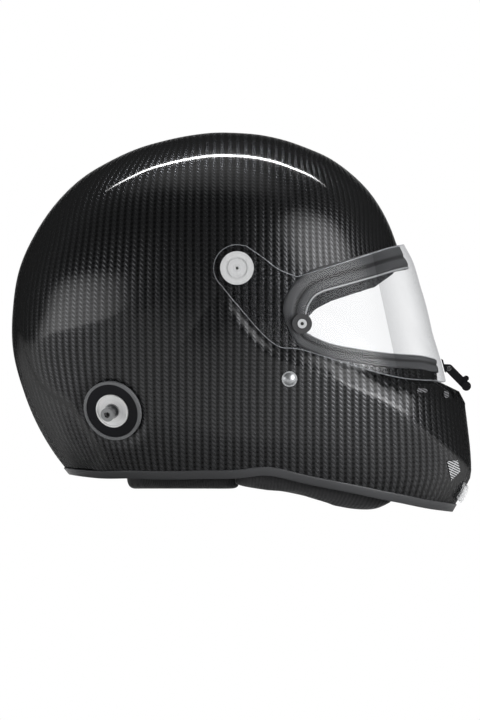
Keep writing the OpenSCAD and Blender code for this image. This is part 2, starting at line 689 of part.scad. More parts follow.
// Flat webbing through places in a cross plane of the helmet, given as [across, up] from the pivots
function offset_path(path, d) = [for (i = [0:len(path) - 1])
    let (t = unit(path[min(len(path) - 1, i + 1)] - path[max(0, i - 1)]))
    path[i] + d * [-t[1], t[0]]];
module webbing(left, spare = 0) {
    translate([strap_x + strap_width / 2 + spare, 0, pivot_z])
        rotate([90, 0, -90])
            mirror([left ? 1 : 0, 0])
                linear_extrude(strap_width + 2 * spare)
                    children();
}
module strap_run(path, half = strap_thickness / 2) {
    polygon(concat(offset_path(path, half), reversed(offset_path(path, -half))));
}
// Closed loop of webbing round both rings' bars
module strap_loop(y) {
    half = ring_gap / 2;
    inner = ring_wire_r + clear;
    difference() {
        stadium(y, half, inner + strap_thickness);
        stadium(y, half, inner);
    }
}
module stadium(y, half, r) {
    translate([y - r, -half + ring_z]) square([2 * r, 2 * half]);
    for (z = [-half, half]) translate([y, z + ring_z]) circle(r = r);
}
ring_wire_r = 1.5;
ring_gap = 3.4;
ring_deep = 0.8 * strap_width;
ring_front = -0.1 * ring_deep;
ring_z = -0.457 * helmet_length;
strap_x = rivet_point[0];
strap_normal = outward(jaw_form, rivet_point);
strap_top = rivet_point - (strap_depth + strap_thickness / 2) * strap_normal;
strap_pin = [-strap_top[1], strap_top[2] - pivot_z];
strap_down = unit([strap_normal[2], strap_normal[1]]);
strap_wall = [strap_pin - 0.2 * strap_width * strap_down, strap_pin,
    strap_pin + 0.8 * strap_width * strap_down];
strap_shares = [[0.7834, -0.408], [0.6767, -0.424], [0.4375, -0.438], [0.2917, -0.447]];
strap_path = concat(strap_wall,
    [for (q = strap_shares) [q[0] * shell_half_width, q[1] * helmet_length]]);
strap_lay = ring_gap / 2 + ring_wire_r + clear + strap_thickness / 2 - 3 * fine;
module chin_strap_right() {
    tongue = 1.4 * strap_width;
    color("#1b1c1f") difference() {
        union() {
            webbing(false) strap_run(concat(strap_path, [[-ring_front, ring_z - strap_lay]]));
            webbing(false)
                strap_run([[-ring_front, ring_z + strap_lay], [-ring_front + tongue, ring_z + strap_lay]]);
            webbing(false) strap_loop(-ring_front);
        }
        both(jaw_form, rivet_point) bar(rivet_r + running, -overrun, overrun);
    }
}
module chin_strap_left() {
    back = ring_front + ring_deep;
    color("#1b1c1f") difference() {
        union() {
            webbing(true)
                strap_run(concat(strap_path, [[back + ring_wire_r + clear + strap_thickness / 2, ring_z]]));
            webbing(true) strap_loop(back);
        }
        both(jaw_form, rivet_point) bar(rivet_r + running, -overrun, overrun);
    }
}
// D ring: a straight bar in the left strap's loop, and round corners to the front bar
module d_ring(up) {
    bend = 0.15 * ring_deep;
    wide = strap_width / 2 + clear + bend;
    color("#c9cbce")
        translate([strap_x, ring_front, pivot_z + ring_z + up * ring_gap / 2]) {
            for (side = [-1, 1]) {
                translate([side * wide, bend, 0])
                    rotate([-90, 0, 0])
                        cylinder(r = ring_wire_r, h = ring_deep - bend + ring_wire_r);
                translate([side * (wide - bend), bend, 0])
                    rotate([0, 0, side > 0 ? -90 : 180])
                        rotate_extrude(angle = 90) translate([bend, 0]) circle(r = ring_wire_r);
            }
            for (bar = [[wide, ring_deep], [wide - bend, 0]])
                translate([-bar[0], bar[1], 0])
                    rotate([0, 90, 0])
                        cylinder(r = ring_wire_r, h = 2 * bar[0]);
        }
}

// Vent meshes and the clear lip on the chin
side_mesh_shares = [[0.457, -0.420], [0.480, -0.418], [0.486, -0.442], [0.466, -0.462]];
function spot(q, height) =
    let (f = form(jaw_profile_shares, shell_half_width, height, true))
    on_side(f, helmet_length * q[0], helmet_length * q[1]);
module chin_mesh(left) {
    steps = 3;
    c = side_mesh_shares;
    function cell(i, j) =
        let (u = i / steps, v = j / steps)
        (1 - v) * ((1 - u) * c[0] + u * c[1]) + v * ((1 - u) * c[3] + u * c[2]);
    color("#9a9c9f") mirror([0, left ? 1 : 0, 0])
        rings([for (j = [0:steps]) concat(
            [for (i = [0:steps]) spot(cell(i, j), mesh_t)],
            [for (i = [steps:-1:0]) spot(cell(i, j), mesh_t / 4)])], closed = false);
}
// Oval mesh on the ledge's crest, part of the way from one row of the ledge to the next
module ledge_mesh(k, part, long, left) {
    p = ledge_crest(ledge_shares[k]);
    q = ledge_crest(ledge_shares[k + 1]);
    n = (1 - part) * ledge_up(ledge_shares[k]) + part * ledge_up(ledge_shares[k + 1]);
    z = unit(n);
    x = unit(q - p - ((q - p) * z) * z);
    y = cross(z, x);
    c = (1 - part) * p + part * q + (mesh_lift + fine) * z;
    color("#9a9c9f") mirror([0, left ? 1 : 0, 0])
        multmatrix([for (i = [0:2]) [x[i], y[i], z[i], c[i]]])
            linear_extrude(mesh_t) union() {
                square([long, 2 * mesh_r], center = true);
                for (side = [-1, 1]) translate([side * long / 2, 0]) circle(r = mesh_r);
            }
}
mesh_r = 2.6;
mesh_long = 7;
mesh_short = 3.5;
mesh_t = 0.6;
mesh_lift = 1.5;
lip_wall = 2;
lip_shares = [[-43.3, 0.15], [-43.3, 1.15], [-44.9, 2], [-46.4, 1.8], [-46.2, 0.95], [-44.8, 1.1]];
module chin_lip() {
    lip_angle = 11;
    steps = 8;
    color("#dfe6ea", 0.5)
        rings([for (i = [0:steps])
            let (s = 90 - lip_angle + 2 * lip_angle * i / steps)
            [for (c = lip_shares)
                let (f = form(jaw_profile_shares, shell_half_width, lip_wall * c[1], true))
                at(f, c[0], s)]],
            closed = false);
}

// Inner parts
liner_gap = 0.4;
pocket_depth = 16;
cavity_form = form(cavity_profile_shares, shell_half_width - shell_wall - liner_thickness, 0);
module hardware_pockets() {
    both(crown_form, anchor_point) bar(boss_r + clear, -pocket_depth, overrun);
    for (left = [false, true])
        pivot_seat(left) bar(insert_r + clear, -insert_depth - clear, overrun);
}
module crown_liner() {
    color("#2e3033") difference() {
        solid_form(form(crown_profile_shares, shell_half_width, -shell_wall - liner_gap),
            inner_angles, inner_stations);
        solid_form(cavity_form, inner_angles, inner_stations);
        across_plain(helmet_length * window_shares);
        across_plain(helmet_length * crown_edge_shares);
        hardware_pockets();
    }
}
chin_angles = angles(-60, -15, 9, 31.5);
chin_gap = 1;
module chin_liner() {
    color("#2e3033") difference() {
        intersection() {
            inside(chin_gap, chin_angles, chin_angles);
            across_plain(helmet_length * chin_liner_shares);
        }
        solid_form(cavity_form, chin_angles, inner_stations);
    }
}
lining_angles = angles(-180, 180, 15, 15);
module comfort_lining() {
    tuck = 0.02;
    color("#1f2023") difference() {
        solid_form(form(cavity_profile_shares, cavity_form[1], -3 * clear), lining_angles, 6);
        solid_form(form(cavity_profile_shares, cavity_form[1], -comfort_thickness), lining_angles, 6);
        across_plain(helmet_length * window_shares);
        across_plain(helmet_length * [for (q = crown_edge_shares) q[1] > -0.4 ? q + [-tuck, tuck] : q]);
        lower = -0.30;
        translate([-helmet_length, -helmet_length, pivot_z + lower * helmet_length - 2 * helmet_length])
            cube(2 * helmet_length);
    }
}
cheek_angles = angles(-114, -15, 9, 21.75);
cheek_gap = 4.5;
cheek_split = 0.17 * cheek_span;
module cheek_pad(left) {
    face_x = 0.36 * helmet_length;
    color("#18191b") difference() {
        intersection() {
            inside(cheek_gap, cheek_angles, cheek_angles);
            across_plain(helmet_length * cheek_outline_shares);
            translate([-helmet_length, left ? cheek_split : -helmet_length - cheek_split, -helmet_length])
                cube([2 * helmet_length, helmet_length, 3 * helmet_length]);
        }
        translate([pivot_x - 0.02 * helmet_length, 0, -overrun])
            linear_extrude(helmet_length + overrun)
                polygon([for (i = [0:47]) let (u = 7.5 * i)
                    [face_x * side_at(u), cheek_span / 2 * share_signed(u)]]);
        webbing(left, 2 * clear)
            strap_run(strap_path, strap_thickness / 2 + 2 * clear);
        seat(jaw_form, rivet_point, left)
            bar(plate_r + 2 * clear, plate_z - 3 * plate_t, overrun);
    }
}
function share_signed(u) = sign(sin(u)) * pow(abs(sin(u)), 2 / roundness);
neck_x = -0.006 * helmet_length;
neck_mid_r = 0.6154 * shell_half_width;
neck_top = -0.4065 * helmet_length;
module neck_roll() {
    round_r = neck_roll_w / 3;
    color("#1b1c1e")
        translate([pivot_x + neck_x, 0, pivot_z + neck_top])
            rotate([0, 0, 90])
                rotate_extrude(angle = 180)
                    translate([neck_mid_r - neck_roll_w / 2, -neck_roll_h])
                        union() {
                            translate([0, round_r]) square([neck_roll_w, neck_roll_h - round_r]);
                            translate([round_r, 0]) square([neck_roll_w - 2 * round_r, neck_roll_h]);
                            for (x = [round_r, neck_roll_w - round_r])
                                translate([x, round_r]) circle(r = round_r);
                        }
}

outer_shell();
base_trim();
port_seal();
visor();
pivot_screw(false);  // pivot_screw_right
pivot_screw(true);  // pivot_screw_left
pivot_washer(false);  // pivot_washer_right
pivot_washer(true);  // pivot_washer_left
pivot_insert(false);  // pivot_insert_right
pivot_insert(true);  // pivot_insert_left
tearoff_post(false);  // tearoff_post_right
tearoff_post(true);  // tearoff_post_left
tearoff_screw(false);  // tearoff_screw_right
tearoff_screw(true);  // tearoff_screw_left
latch_bracket();
latch_pin();
latch_lever();
latch_catch();
anchor_gasket(false);  // anchor_gasket_right
anchor_gasket(true);  // anchor_gasket_left
anchor_plate(false);  // anchor_plate_right
anchor_plate(true);  // anchor_plate_left
anchor_dish(false);  // anchor_dish_right
anchor_dish(true);  // anchor_dish_left
anchor_post(false);  // anchor_post_right
anchor_post(true);  // anchor_post_left
anchor_nut(false);  // anchor_nut_right
anchor_nut(true);  // anchor_nut_left
strap_rivet(false);  // strap_rivet_right
strap_rivet(true);  // strap_rivet_left
strap_plate(false);  // strap_plate_right
strap_plate(true);  // strap_plate_left
chin_strap_right();
chin_strap_left();
d_ring(-1);  // d_ring_lower
d_ring(1);  // d_ring_upper
chin_mesh(false);  // chin_mesh_right
chin_mesh(true);  // chin_mesh_left
ledge_mesh(7, 0.25, mesh_long, false);  // ledge_mesh_rear_right
ledge_mesh(7, 0.25, mesh_long, true);  // ledge_mesh_rear_left
ledge_mesh(8, 0.1, mesh_short, false);  // ledge_mesh_front_right
ledge_mesh(8, 0.1, mesh_short, true);  // ledge_mesh_front_left
chin_lip();
crown_liner();
chin_liner();
comfort_lining();
cheek_pad(false);  // cheek_pad_right
cheek_pad(true);  // cheek_pad_left
neck_roll();
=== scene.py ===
"""Looks of a full-face auto racing helmet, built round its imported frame.

Every piece repeats the forms and tables of the part, in metres: polar profiles about the visor
pivots, a superellipse from side to side, and edge curves given on those forms.
"""
import math
from collections import Counter

import bmesh
import bpy
import numpy as np
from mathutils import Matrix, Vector


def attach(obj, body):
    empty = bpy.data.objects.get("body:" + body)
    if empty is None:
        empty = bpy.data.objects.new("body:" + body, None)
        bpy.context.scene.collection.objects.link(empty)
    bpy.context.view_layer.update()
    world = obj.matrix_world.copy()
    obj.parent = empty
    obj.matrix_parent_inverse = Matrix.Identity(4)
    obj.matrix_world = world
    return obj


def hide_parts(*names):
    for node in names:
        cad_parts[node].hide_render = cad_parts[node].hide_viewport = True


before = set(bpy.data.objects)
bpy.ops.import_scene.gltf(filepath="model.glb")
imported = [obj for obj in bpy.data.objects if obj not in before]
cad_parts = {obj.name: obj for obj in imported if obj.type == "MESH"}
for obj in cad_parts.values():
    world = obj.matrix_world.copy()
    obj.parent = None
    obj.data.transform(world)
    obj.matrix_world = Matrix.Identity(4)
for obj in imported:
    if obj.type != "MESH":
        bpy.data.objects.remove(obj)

bl_info = {
    "name": "Racing helmet looks",
    "version": (1, 0, 0),
    "blender": (4, 5, 0),
    "location": "View3D > Sidebar > Helmet",
    "description": "Builds a full-face racing helmet's surfaces, materials, lights and camera",
    "category": "Object",
}

# Sizes of the part, in metres: WIDTH is the half width, POWER the superellipse's exponent, and RISE
# how far the jaw form stands out from the crown form
LENGTH = 0.350
WIDTH = 0.120
WALL = 0.003
POWER = 2.3
RISE = 0.0025
PIVOT_X = -0.01021 * LENGTH
PIVOT_Z = 0.53106 * LENGTH
SIDE_GAP = 0.0018
VISOR_WALL = 0.003
MM = 0.001
MIRRORED = np.array([1, -1, 1])

# Cutting and smoothing: points for each table row, and for half the base and port edges, how far
# along an edge a corner may move to a cut, and how far from the ledge's edge the shell is evened out
CURVE_STEPS = 10
HALF_BASE = 160
HALF_PORT = 130
SNAP = 0.3
CREASE_WIDTH = 9 * MM

# Side-view outlines about the pivots: angle in degrees, radius as a share of the length
CROWN = [(-180, 0.4723), (-170, 0.4946), (-160, 0.5183), (-150, 0.5357), (-140, 0.5554),
    (-130, 0.5737), (-120, 0.585), (-105, 0.645), (-90, 0.700), (-75, 0.714), (-60, 0.694),
    (-50, 0.648), (-42, 0.587), (-36, 0.541), (-30, 0.504), (-26, 0.480), (-22, 0.4505),
    (-17.6, 0.425), (-7, 0.3857), (0, 0.370), (3, 0.3625), (8, 0.3514), (14, 0.3454),
    (20, 0.3403), (30, 0.3317), (40, 0.3214), (50, 0.312), (60, 0.3017), (70, 0.2963),
    (80, 0.2937), (90, 0.2937), (100, 0.2986), (110, 0.3063), (120, 0.3191), (130, 0.3383),
    (140, 0.3611), (150, 0.3897), (160, 0.4169), (170, 0.444), (180, 0.4723)]
JAW = CROWN[:6] + [(-121, 0.5886), (-112, 0.617), (-101, 0.677), (-90, 0.731), (-75, 0.760),
    (-62, 0.7514), (-54, 0.7257), (-48.3, 0.703), (-44.6, 0.6905), (-41.7, 0.6808), (-40.6, 0.6708),
    (-38, 0.6438), (-35, 0.6134), (-32, 0.5866), (-30, 0.572), (-27, 0.552), (-18, 0.486),
    (-10, 0.43), (0, 0.38), (20, 0.345), (60, 0.3017), (90, 0.2937), (120, 0.3191),
    (150, 0.3897), (180, 0.4723)]
SCREEN = [(-180, 0.52), (-150, 0.57), (-130, 0.60), (-110, 0.68), (-90, 0.74), (-65, 0.742),
    (-50, 0.672), (-39, 0.592), (-33, 0.549), (-28.4, 0.516), (-22.2, 0.4714), (-17.6, 0.4443),
    (-6.8, 0.4043), (-2, 0.392), (2.3, 0.3825), (8.2, 0.3663), (14, 0.358), (30, 0.352),
    (60, 0.349), (90, 0.357), (120, 0.371), (150, 0.43), (180, 0.52)]
# The base edge from the chin to the nape, in the same terms
BASE = [(-48.3, 0.703), (-49.8, 0.683), (-55.7, 0.6095), (-63.6, 0.538), (-73.9, 0.479),
    (-81.4, 0.4515), (-88.9, 0.4517), (-101.4, 0.463), (-115.6, 0.502), (-124, 0.545),
    (-129.4, 0.5745)]
# The eye port's edge: angle, share of the crown form's radius
PORT = [(2.6, 1), (1.85, 0.92), (-1.35, 0.743), (-6.4, 0.563), (-12.9, 0.429), (-24.4, 0.336),
    (-32.8, 0.307), (-40, 0.309), (-45, 0.335), (-42.8, 0.402), (-35.4, 0.589), (-30.1, 0.765),
    (-26.5, 0.92), (-25.6, 1)]
# The ledge's outer edge on the jaw form, then its inner edge on the crown form, in PORT's terms
LEDGE = [(-104.4, 0.1325, -98.6, 0.108), (-82.7, 0.184, -76.5, 0.1815),
    (-71.4, 0.241, -66.8, 0.258), (-57.9, 0.315, -53.4, 0.345), (-50.7, 0.393, -46.3, 0.448),
    (-44.5, 0.527, -38.9, 0.6235), (-41.9, 0.594, -36, 0.73), (-38.7, 0.726, -32.1, 0.871),
    (-35.2, 0.8815, -29.9, 0.963), (-32.3, 0.96, -29.6, 0.99), (-30.6, 1, -29.4, 1)]
# How far the ledge bulges for its width, and its edges behind the ear in SCREEN_EDGE's terms
LEDGE_CROWN = 0.22
BEHIND_OUTER = [(-0.078, -0.033), (-0.189, -0.070), (-0.340, -0.170), (-0.493, -0.287)]
BEHIND_INNER = [(-0.066, -0.018), (-0.189, -0.054), (-0.340, -0.152), (-0.493, -0.270)]
# The visor's edge, seen from the side from the pivots, and its ear's radius, as shares of the length
EAR_SHARE = 0.0515
SCREEN_EDGE = [(0.017, 0.051), (0.059, 0.022), (0.091, -0.002), (0.124, -0.015),
    (0.139, -0.016), (0.220, 0.009), (0.300, 0.035), (0.361, 0.052), (0.507, 0.070),
    (0.507, -0.246), (0.454, -0.246), (0.337, -0.235), (0.148, -0.180), (0.074, -0.161),
    (-0.038, -0.035)]


class Curve:
    """Smooth curve through rows of angle and value, as in the part."""

    def __init__(self, rows):
        self.a, self.v = a, v = np.array(rows, float).T
        closed = a[-1] - a[0] == 360
        angles = np.array([a[-2] - 360, *a, a[1] + 360] if closed else [a[0], *a, a[-1]])
        values = np.array([v[-2], *v, v[1]] if closed else [v[0], *v, v[-1]])
        self.slope = (values[2:] - values[:-2]) / (angles[2:] - angles[:-2])

    def __call__(self, angle):
        angle = (np.asarray(angle, float) + 180) % 360 - 180
        i = np.clip(np.searchsorted(self.a, angle, side="right") - 1, 0, len(self.a) - 2)
        h = self.a[i + 1] - self.a[i]
        u = (angle - self.a[i]) / h
        w = 1 - u
        return ((1 + 2 * u) * w * w * self.v[i] + u * w * w * h * self.slope[i]
            + u * u * (3 - 2 * u) * self.v[i + 1] - u * u * w * h * self.slope[i + 1])


def ease(u):
    u = np.clip(u, 0, 1)
    return u * u * (3 - 2 * u)


class Form:
    """One of the helmet's forms: a side-view profile, a half width and an offset."""

    def __init__(self, curve, half, offset=0.0, jaw=False):
        self.curve, self.half, self.offset, self.jaw = curve, half + offset, offset, jaw

    def radius(self, a):
        return LENGTH * self.curve(a) + self.offset

    def half_width(self, a):
        return self.half + (RISE * (1.3 * ease((np.asarray(a) + 140) / 45) - 0.3) if self.jaw else 0)

    def at(self, a, share, right=1.0):
        """Points at angles a and shares of the radius, on the right-hand side."""
        r = self.radius(a) * share
        side = (1 - np.clip(share, 0, 1) ** POWER) ** (1 / POWER)
        return np.stack([PIVOT_X + r * np.cos(np.radians(a)), -right * self.half_width(a) * side,
            PIVOT_Z + r * np.sin(np.radians(a))], -1)

    def level(self, p):
        x, z = p[..., 0] - PIVOT_X, p[..., 2] - PIVOT_Z
        a = np.degrees(np.arctan2(z, x))
        return ((np.hypot(x, z) / self.radius(a)) ** POWER
            + (np.abs(p[..., 1]) / self.half_width(a)) ** POWER)

    def gradient(self, p):
        step = 0.0003
        return np.stack([(self.level(p + step * d) - self.level(p - step * d)) / (2 * step)
            for d in np.eye(3)], -1)

    def outward(self, p):
        return unit(self.gradient(p))

    def onto(self, p):
        for _ in range(2):
            g = self.gradient(p)
            p = p + ((1 - self.level(p)) / (g * g).sum(-1))[..., None] * g
        return p

    def on_side(self, x, z):
        a = np.degrees(np.arctan2(z, x))
        return self.at(a, np.hypot(x, z) / self.radius(a))


def unit(v):
    return v / np.maximum(np.linalg.norm(v, axis=-1, keepdims=True), 1e-12)


def station_share(s):
    return np.sin(np.radians(s)) ** (2 / POWER)


def share_station(t):
    return np.degrees(np.arcsin(np.clip(t, 0, 1) ** (POWER / 2)))


crown = Form(Curve(CROWN), WIDTH)
jaw = Form(Curve(JAW), WIDTH, jaw=True)
screen = Form(Curve(SCREEN), WIDTH + SIDE_GAP + VISOR_WALL)


def disc(a, t):
    """Places on the flat disc that the sheets are cut on: rings lie evenly there by station."""
    a, t = np.radians(np.asarray(a, float)), np.asarray(t, float)
    t = np.where(t < 1, share_station(t) / 90, t)
    return np.stack([t * np.cos(a), t * np.sin(a)], -1)


def from_disc(q):
    """Angles and shares of places on the disc."""
    x, y = q[..., 0], q[..., 1]
    return np.degrees(np.arctan2(y, x)), station_share(90 * np.minimum(np.hypot(x, y), 1))


def through(p, steps):
    """Points along a smooth curve through all the given ones but the first and last."""
    u = (np.arange(steps) / steps)[:, None]
    out = []
    for i in range(1, len(p) - 2):
        a, b, c, d = p[i - 1:i + 3]
        out.append(0.5 * (2 * b + (c - a) * u + (2 * a - 5 * b + 4 * c - d) * u ** 2
            + (3 * b - a - 3 * c + d) * u ** 3))
    return np.vstack(out + [p[-2:-1]])


def spline(points, steps):
    """Points along a curve through the given ones."""
    p = np.asarray(points, float)
    return through(np.vstack([2 * p[0] - p[1], p, 2 * p[-1] - p[-2]]), steps)


def nearest(points, line):
    """Distance from each point to a polyline, and the nearest place's index along it."""
    best = np.full(len(points), 1e9)
    place = np.zeros(len(points))
    for i in range(len(line) - 1):
        a, d = line[i], line[i + 1] - line[i]
        u = np.clip(((points - a) @ d) / max(d @ d, 1e-12), 0, 1)
        gap = np.linalg.norm(points - a - u[:, None] * d, axis=1)
        near = gap < best
        best[near] = gap[near]
        place[near] = i + u[near]
    return best, place


def within(points, polygon):
    inside = np.zeros(len(points), bool)
    q = np.asarray(polygon)
    for a, b in zip(q, np.roll(q, -1, 0)):
        cross = (a[1] > points[:, 1]) != (b[1] > points[:, 1])
        with np.errstate(divide="ignore", invalid="ignore"):
            x = (b[0] - a[0]) * (points[:, 1] - a[1]) / (b[1] - a[1]) + a[0]
        inside ^= cross & (points[:, 0] < x)
    return inside


def side_of(line, closing):
    """Gives a function: distance to a line, positive in the polygon that closing points make of it."""
    polygon = np.vstack([line, closing])

    def value(points):
        gap, _ = nearest(points, line)
        return np.where(within(points, polygon), gap, -gap)

    return value


def sheet(rings, around):
    """Triangles over the unit disc, as places and indices, with its rings closer at the middle."""
    middle = np.linspace(0, 0.36, 37)[1:]
    t = station_share(np.linspace(0, 90, rings + 1)[1:])
    t = np.concatenate((middle, t[t > middle[-1] + 0.005]))
    a = -180 + 360 * np.arange(around) / around
    points = np.vstack([[[0.0, 0.0]]] + [disc(a, x) for x in t])
    tris = [(0, 1 + i, 1 + (i + 1) % around) for i in range(around)]
    for j in range(len(t) - 1):
        b, c = 1 + j * around, 1 + (j + 1) * around
        for i in range(around):
            k = (i + 1) % around
            tris += [(b + i, c + i, c + k), (b + i, c + k, b + k)]
    return points, tris


def edges_of(faces):
    """The faces' edges as ordered pairs, once for each face."""
    return [(min(e), max(e)) for face in faces for e in zip(face, face[1:] + face[:1])]


def split(points, tris, value, keep=None, fixed=None):
    """Cuts triangles along the zero line of a value, and drops those where keep says so.

    Places close to the line move onto it first, so that no slivers are left. Those on an
    earlier line are fixed, and those on the rim stay on it.
    """
    fixed = set() if fixed is None else fixed
    points = np.array(points, float)
    f = value(points)
    f = np.where(np.abs(f) < 1e-7, 0, f)
    rim = np.linalg.norm(points, axis=1) > 1 - 1e-6
    best = {}
    for i, j in set(edges_of(tris)):
        if f[i] * f[j] < 0:
            u = f[i] / (f[i] - f[j])
            for a, b, w in ((i, j, u), (j, i, 1 - u)):
                if w < min(SNAP, best.get(a, (1, 0))[0]) and a not in fixed and rim[a] <= rim[b]:
                    best[a] = (w, b)
    places = points.copy()
    for a, (w, b) in best.items():
        places[a] = points[a] + w * (points[b] - points[a])
        if rim[a]:
            places[a] /= np.linalg.norm(places[a])
        f[a] = 0
    fixed.update(best)
    points, f, rim, out, cuts = list(places), list(f), list(rim), [], {}

    def cut(i, j):
        key = (min(i, j), max(i, j))
        if key not in cuts:
            u = f[i] / (f[i] - f[j])
            place = points[i] + u * (points[j] - points[i])
            both = rim[i] and rim[j]
            points.append(place / np.linalg.norm(place) if both else place)
            f.append(0.0)
            rim.append(both)
            cuts[key] = len(points) - 1
            fixed.add(cuts[key])
        return cuts[key]

    for tri in tris:
        v = [f[i] for i in tri]
        if not (min(v) < 0 < max(v)):
            out.append(tri)
            continue
        for turn in range(3):
            i, j, k = tri[turn], tri[(turn + 1) % 3], tri[(turn + 2) % 3]
            if f[i] == 0 and f[j] * f[k] < 0:
                m = cut(j, k)
                out += [(i, j, m), (i, m, k)]
                break
            if f[j] * f[k] > 0 and f[i] * f[j] < 0:
                m, n = cut(i, j), cut(i, k)
                out += [(i, m, n), (m, j, k), (m, k, n)]
                break
    if keep:
        out = [t for t in out if keep * sum(f[i] for i in t) > 0]
    return np.array(points), out


def mesh_object(name, verts, faces, smooth=True):
    mesh = bpy.data.meshes.new(name)
    mesh.from_pydata([tuple(map(float, v)) for v in verts], [], [tuple(map(int, f)) for f in faces])
    mesh.validate()
    obj = bpy.data.objects.new(name, mesh)
    bpy.context.scene.collection.objects.link(obj)
    if smooth:
        mesh.shade_smooth()
    return obj


def both_sides(verts, tris):
    """Adds the mirrored left half to a right half, and tells which place each vertex comes from."""
    used = np.array(sorted({i for t in tris for i in t}))
    index = {i: n for n, i in enumerate(used)}
    v = verts[used]
    f = [tuple(index[i] for i in t) for t in tris]
    on_plane = np.abs(v[:, 1]) < 1e-7
    v[on_plane, 1] = 0
    left = np.nonzero(~on_plane)[0]
    remap = np.arange(len(v))
    remap[left] = len(v) + np.arange(len(left))
    g = [tuple(remap[i] for i in t[::-1]) for t in f]
    return np.vstack([v, v[left] * MIRRORED]), f + g, used[np.concatenate((np.arange(len(v)), left))]


def modify(obj, kind, **settings):
    """Adds a modifier and applies it to the mesh."""
    mod = obj.modifiers.new(kind.lower(), kind)
    for key, value in settings.items():
        setattr(mod, key, value)
    graph = bpy.context.evaluated_depsgraph_get()
    mesh = bpy.data.meshes.new_from_object(obj.evaluated_get(graph), depsgraph=graph)
    obj.modifiers.clear()
    old = obj.data
    obj.data = mesh
    bpy.data.meshes.remove(old)


def fair_faces(obj):
    """Points every face outward."""
    bm = bmesh.new()
    bm.from_mesh(obj.data)
    bmesh.ops.recalc_face_normals(bm, faces=bm.faces)
    bm.to_mesh(obj.data)
    bm.free()


def loop_object(name, rings, closed=True):
    """Tube through rings of points, closed on itself or capped."""
    rings = np.asarray(rings)
    n, m = rings.shape[:2]
    faces = []
    for i in range(n if closed else n - 1):
        for j in range(m):
            a, b, k = i * m, ((i + 1) % n) * m, (j + 1) % m
            faces.append((a + j, b + j, b + k, a + k))
    if not closed:
        faces += [tuple(range(m)), tuple((n - 1) * m + j for j in range(m))]
    obj = mesh_object(name, rings.reshape(-1, 3), faces)
    fair_faces(obj)
    return obj


base_curve = Curve([(-a, share) for a, share in BASE])


def base_pairs(count):
    """Angles and shares along the base edge, from the chin to the nape, on the right."""
    a0, a1 = BASE[0][0], BASE[-1][0]
    u = np.linspace(0, math.pi, count)
    a = (a0 + a1) / 2 + (a0 - a1) / 2 * np.cos(u)
    r = LENGTH * base_curve(-a)
    return a, np.clip(r / jaw.radius(a), 0, 1)


def port_pairs():
    """Angles and shares along the eye port's edge, from the brow to the chin, on the right."""
    rows = [(a, float(share_station(t))) for a, t in PORT]
    before, after = [(a, 180 - station) for a, station in (rows[1], rows[-2])]
    a, station = through(np.array([before, *rows, after]), CURVE_STEPS).T
    return a, station_share(station)


def side_disc(form, x, z):
    """The disc's place for a side-view place, given from the pivots as shares of the length."""
    a = np.degrees(np.arctan2(z, x))
    return disc(a, LENGTH * np.hypot(x, z) / form.radius(a))


def ledge_lines():
    """The ledge's outer and inner edges over the disc, running on behind the ear."""
    rows = np.array(LEDGE)[::-1]
    outer = [disc(r[0], r[1]) for r in rows] + [side_disc(jaw, x, z) for x, z in BEHIND_OUTER]
    inner = [disc(r[2], r[3]) for r in rows] + [side_disc(crown, x, z) for x, z in BEHIND_INNER]
    return spline(outer, CURVE_STEPS), spline(inner, CURVE_STEPS)


def split_shell_sheet():
    """The shell's right half as disc places, cut along its edges and creases."""
    points, tris = sheet(64, 300)
    outer, inner = ledge_lines()
    # Each line is closed by points beyond the disc's rim
    in_jaw = side_of(outer, [[-1.6, -0.9], [-1.6, -1.9], [1.9, -1.9], [1.9, -0.8]])
    under_edge = side_of(inner, [[-1.6, -0.85], [-1.6, -1.9], [1.9, -1.9], [1.9, -0.75]])
    port = disc(*port_pairs())
    in_port = side_of(port, [[1.8, port[-1][1] - 0.05], [1.8, port[0][1] + 0.05]])
    base = disc(*base_pairs(HALF_BASE))
    base = np.vstack([base[:1] * 1.3, base, base[-1:] * 1.3])
    below = side_of(base, [[-1.2, -2.0], [1.2, -2.0]])
    fixed = set()
    for value, keep in ((in_port, -1), (below, -1), (in_jaw, None), (under_edge, None)):
        points, tris = split(points, tris, value, keep, fixed)
    return points, tris, in_jaw, under_edge, outer, inner


def anchor_frame():
    """The right anchor's place on the crown form, and the direction it faces."""
    place = crown.on_side(-0.2714 * LENGTH, -0.3106 * LENGTH)
    return place, crown.outward(place)


def shell_places(points, in_jaw, under_edge, outer, inner):
    """Lays disc places on the shell's outer surface."""
    a, t = from_disc(points)
    low, high = crown.at(a, t), jaw.at(a, t)
    fa, fb = in_jaw(points), under_edge(points)
    v = np.where(fa >= -1e-9, 1, np.where(fb <= 1e-9, 0, fb / np.maximum(fb - fa, 1e-9)))
    v = np.where(jaw.half_width(a) <= crown.half, 0, v)
    p = np.where(v[:, None] > 0.5, high, low)
    band = (v > 0) & (v < 1)
    if band.any():
        _, ka = nearest(points[band], outer)
        _, kb = nearest(points[band], inner)

        def on_line(line, k, form):
            i = np.clip(np.floor(k).astype(int), 0, len(line) - 2)
            a, t = from_disc(line[i] + (k - i)[:, None] * (line[i + 1] - line[i]))
            return form.at(a, t), t

        pa, ta = on_line(outer, ka, jaw)
        pb, _ = on_line(inner, kb, crown)
        up = unit(jaw.outward(pa) + crown.outward(pb))
        w = v[band][:, None]
        bulge = LEDGE_CROWN * (ta ** 2)[:, None] * np.linalg.norm(pa - pb, axis=1, keepdims=True)
        p[band] = (1 - w) * pb + w * pa + 4 * w * (1 - w) * bulge * up
    return p, fa


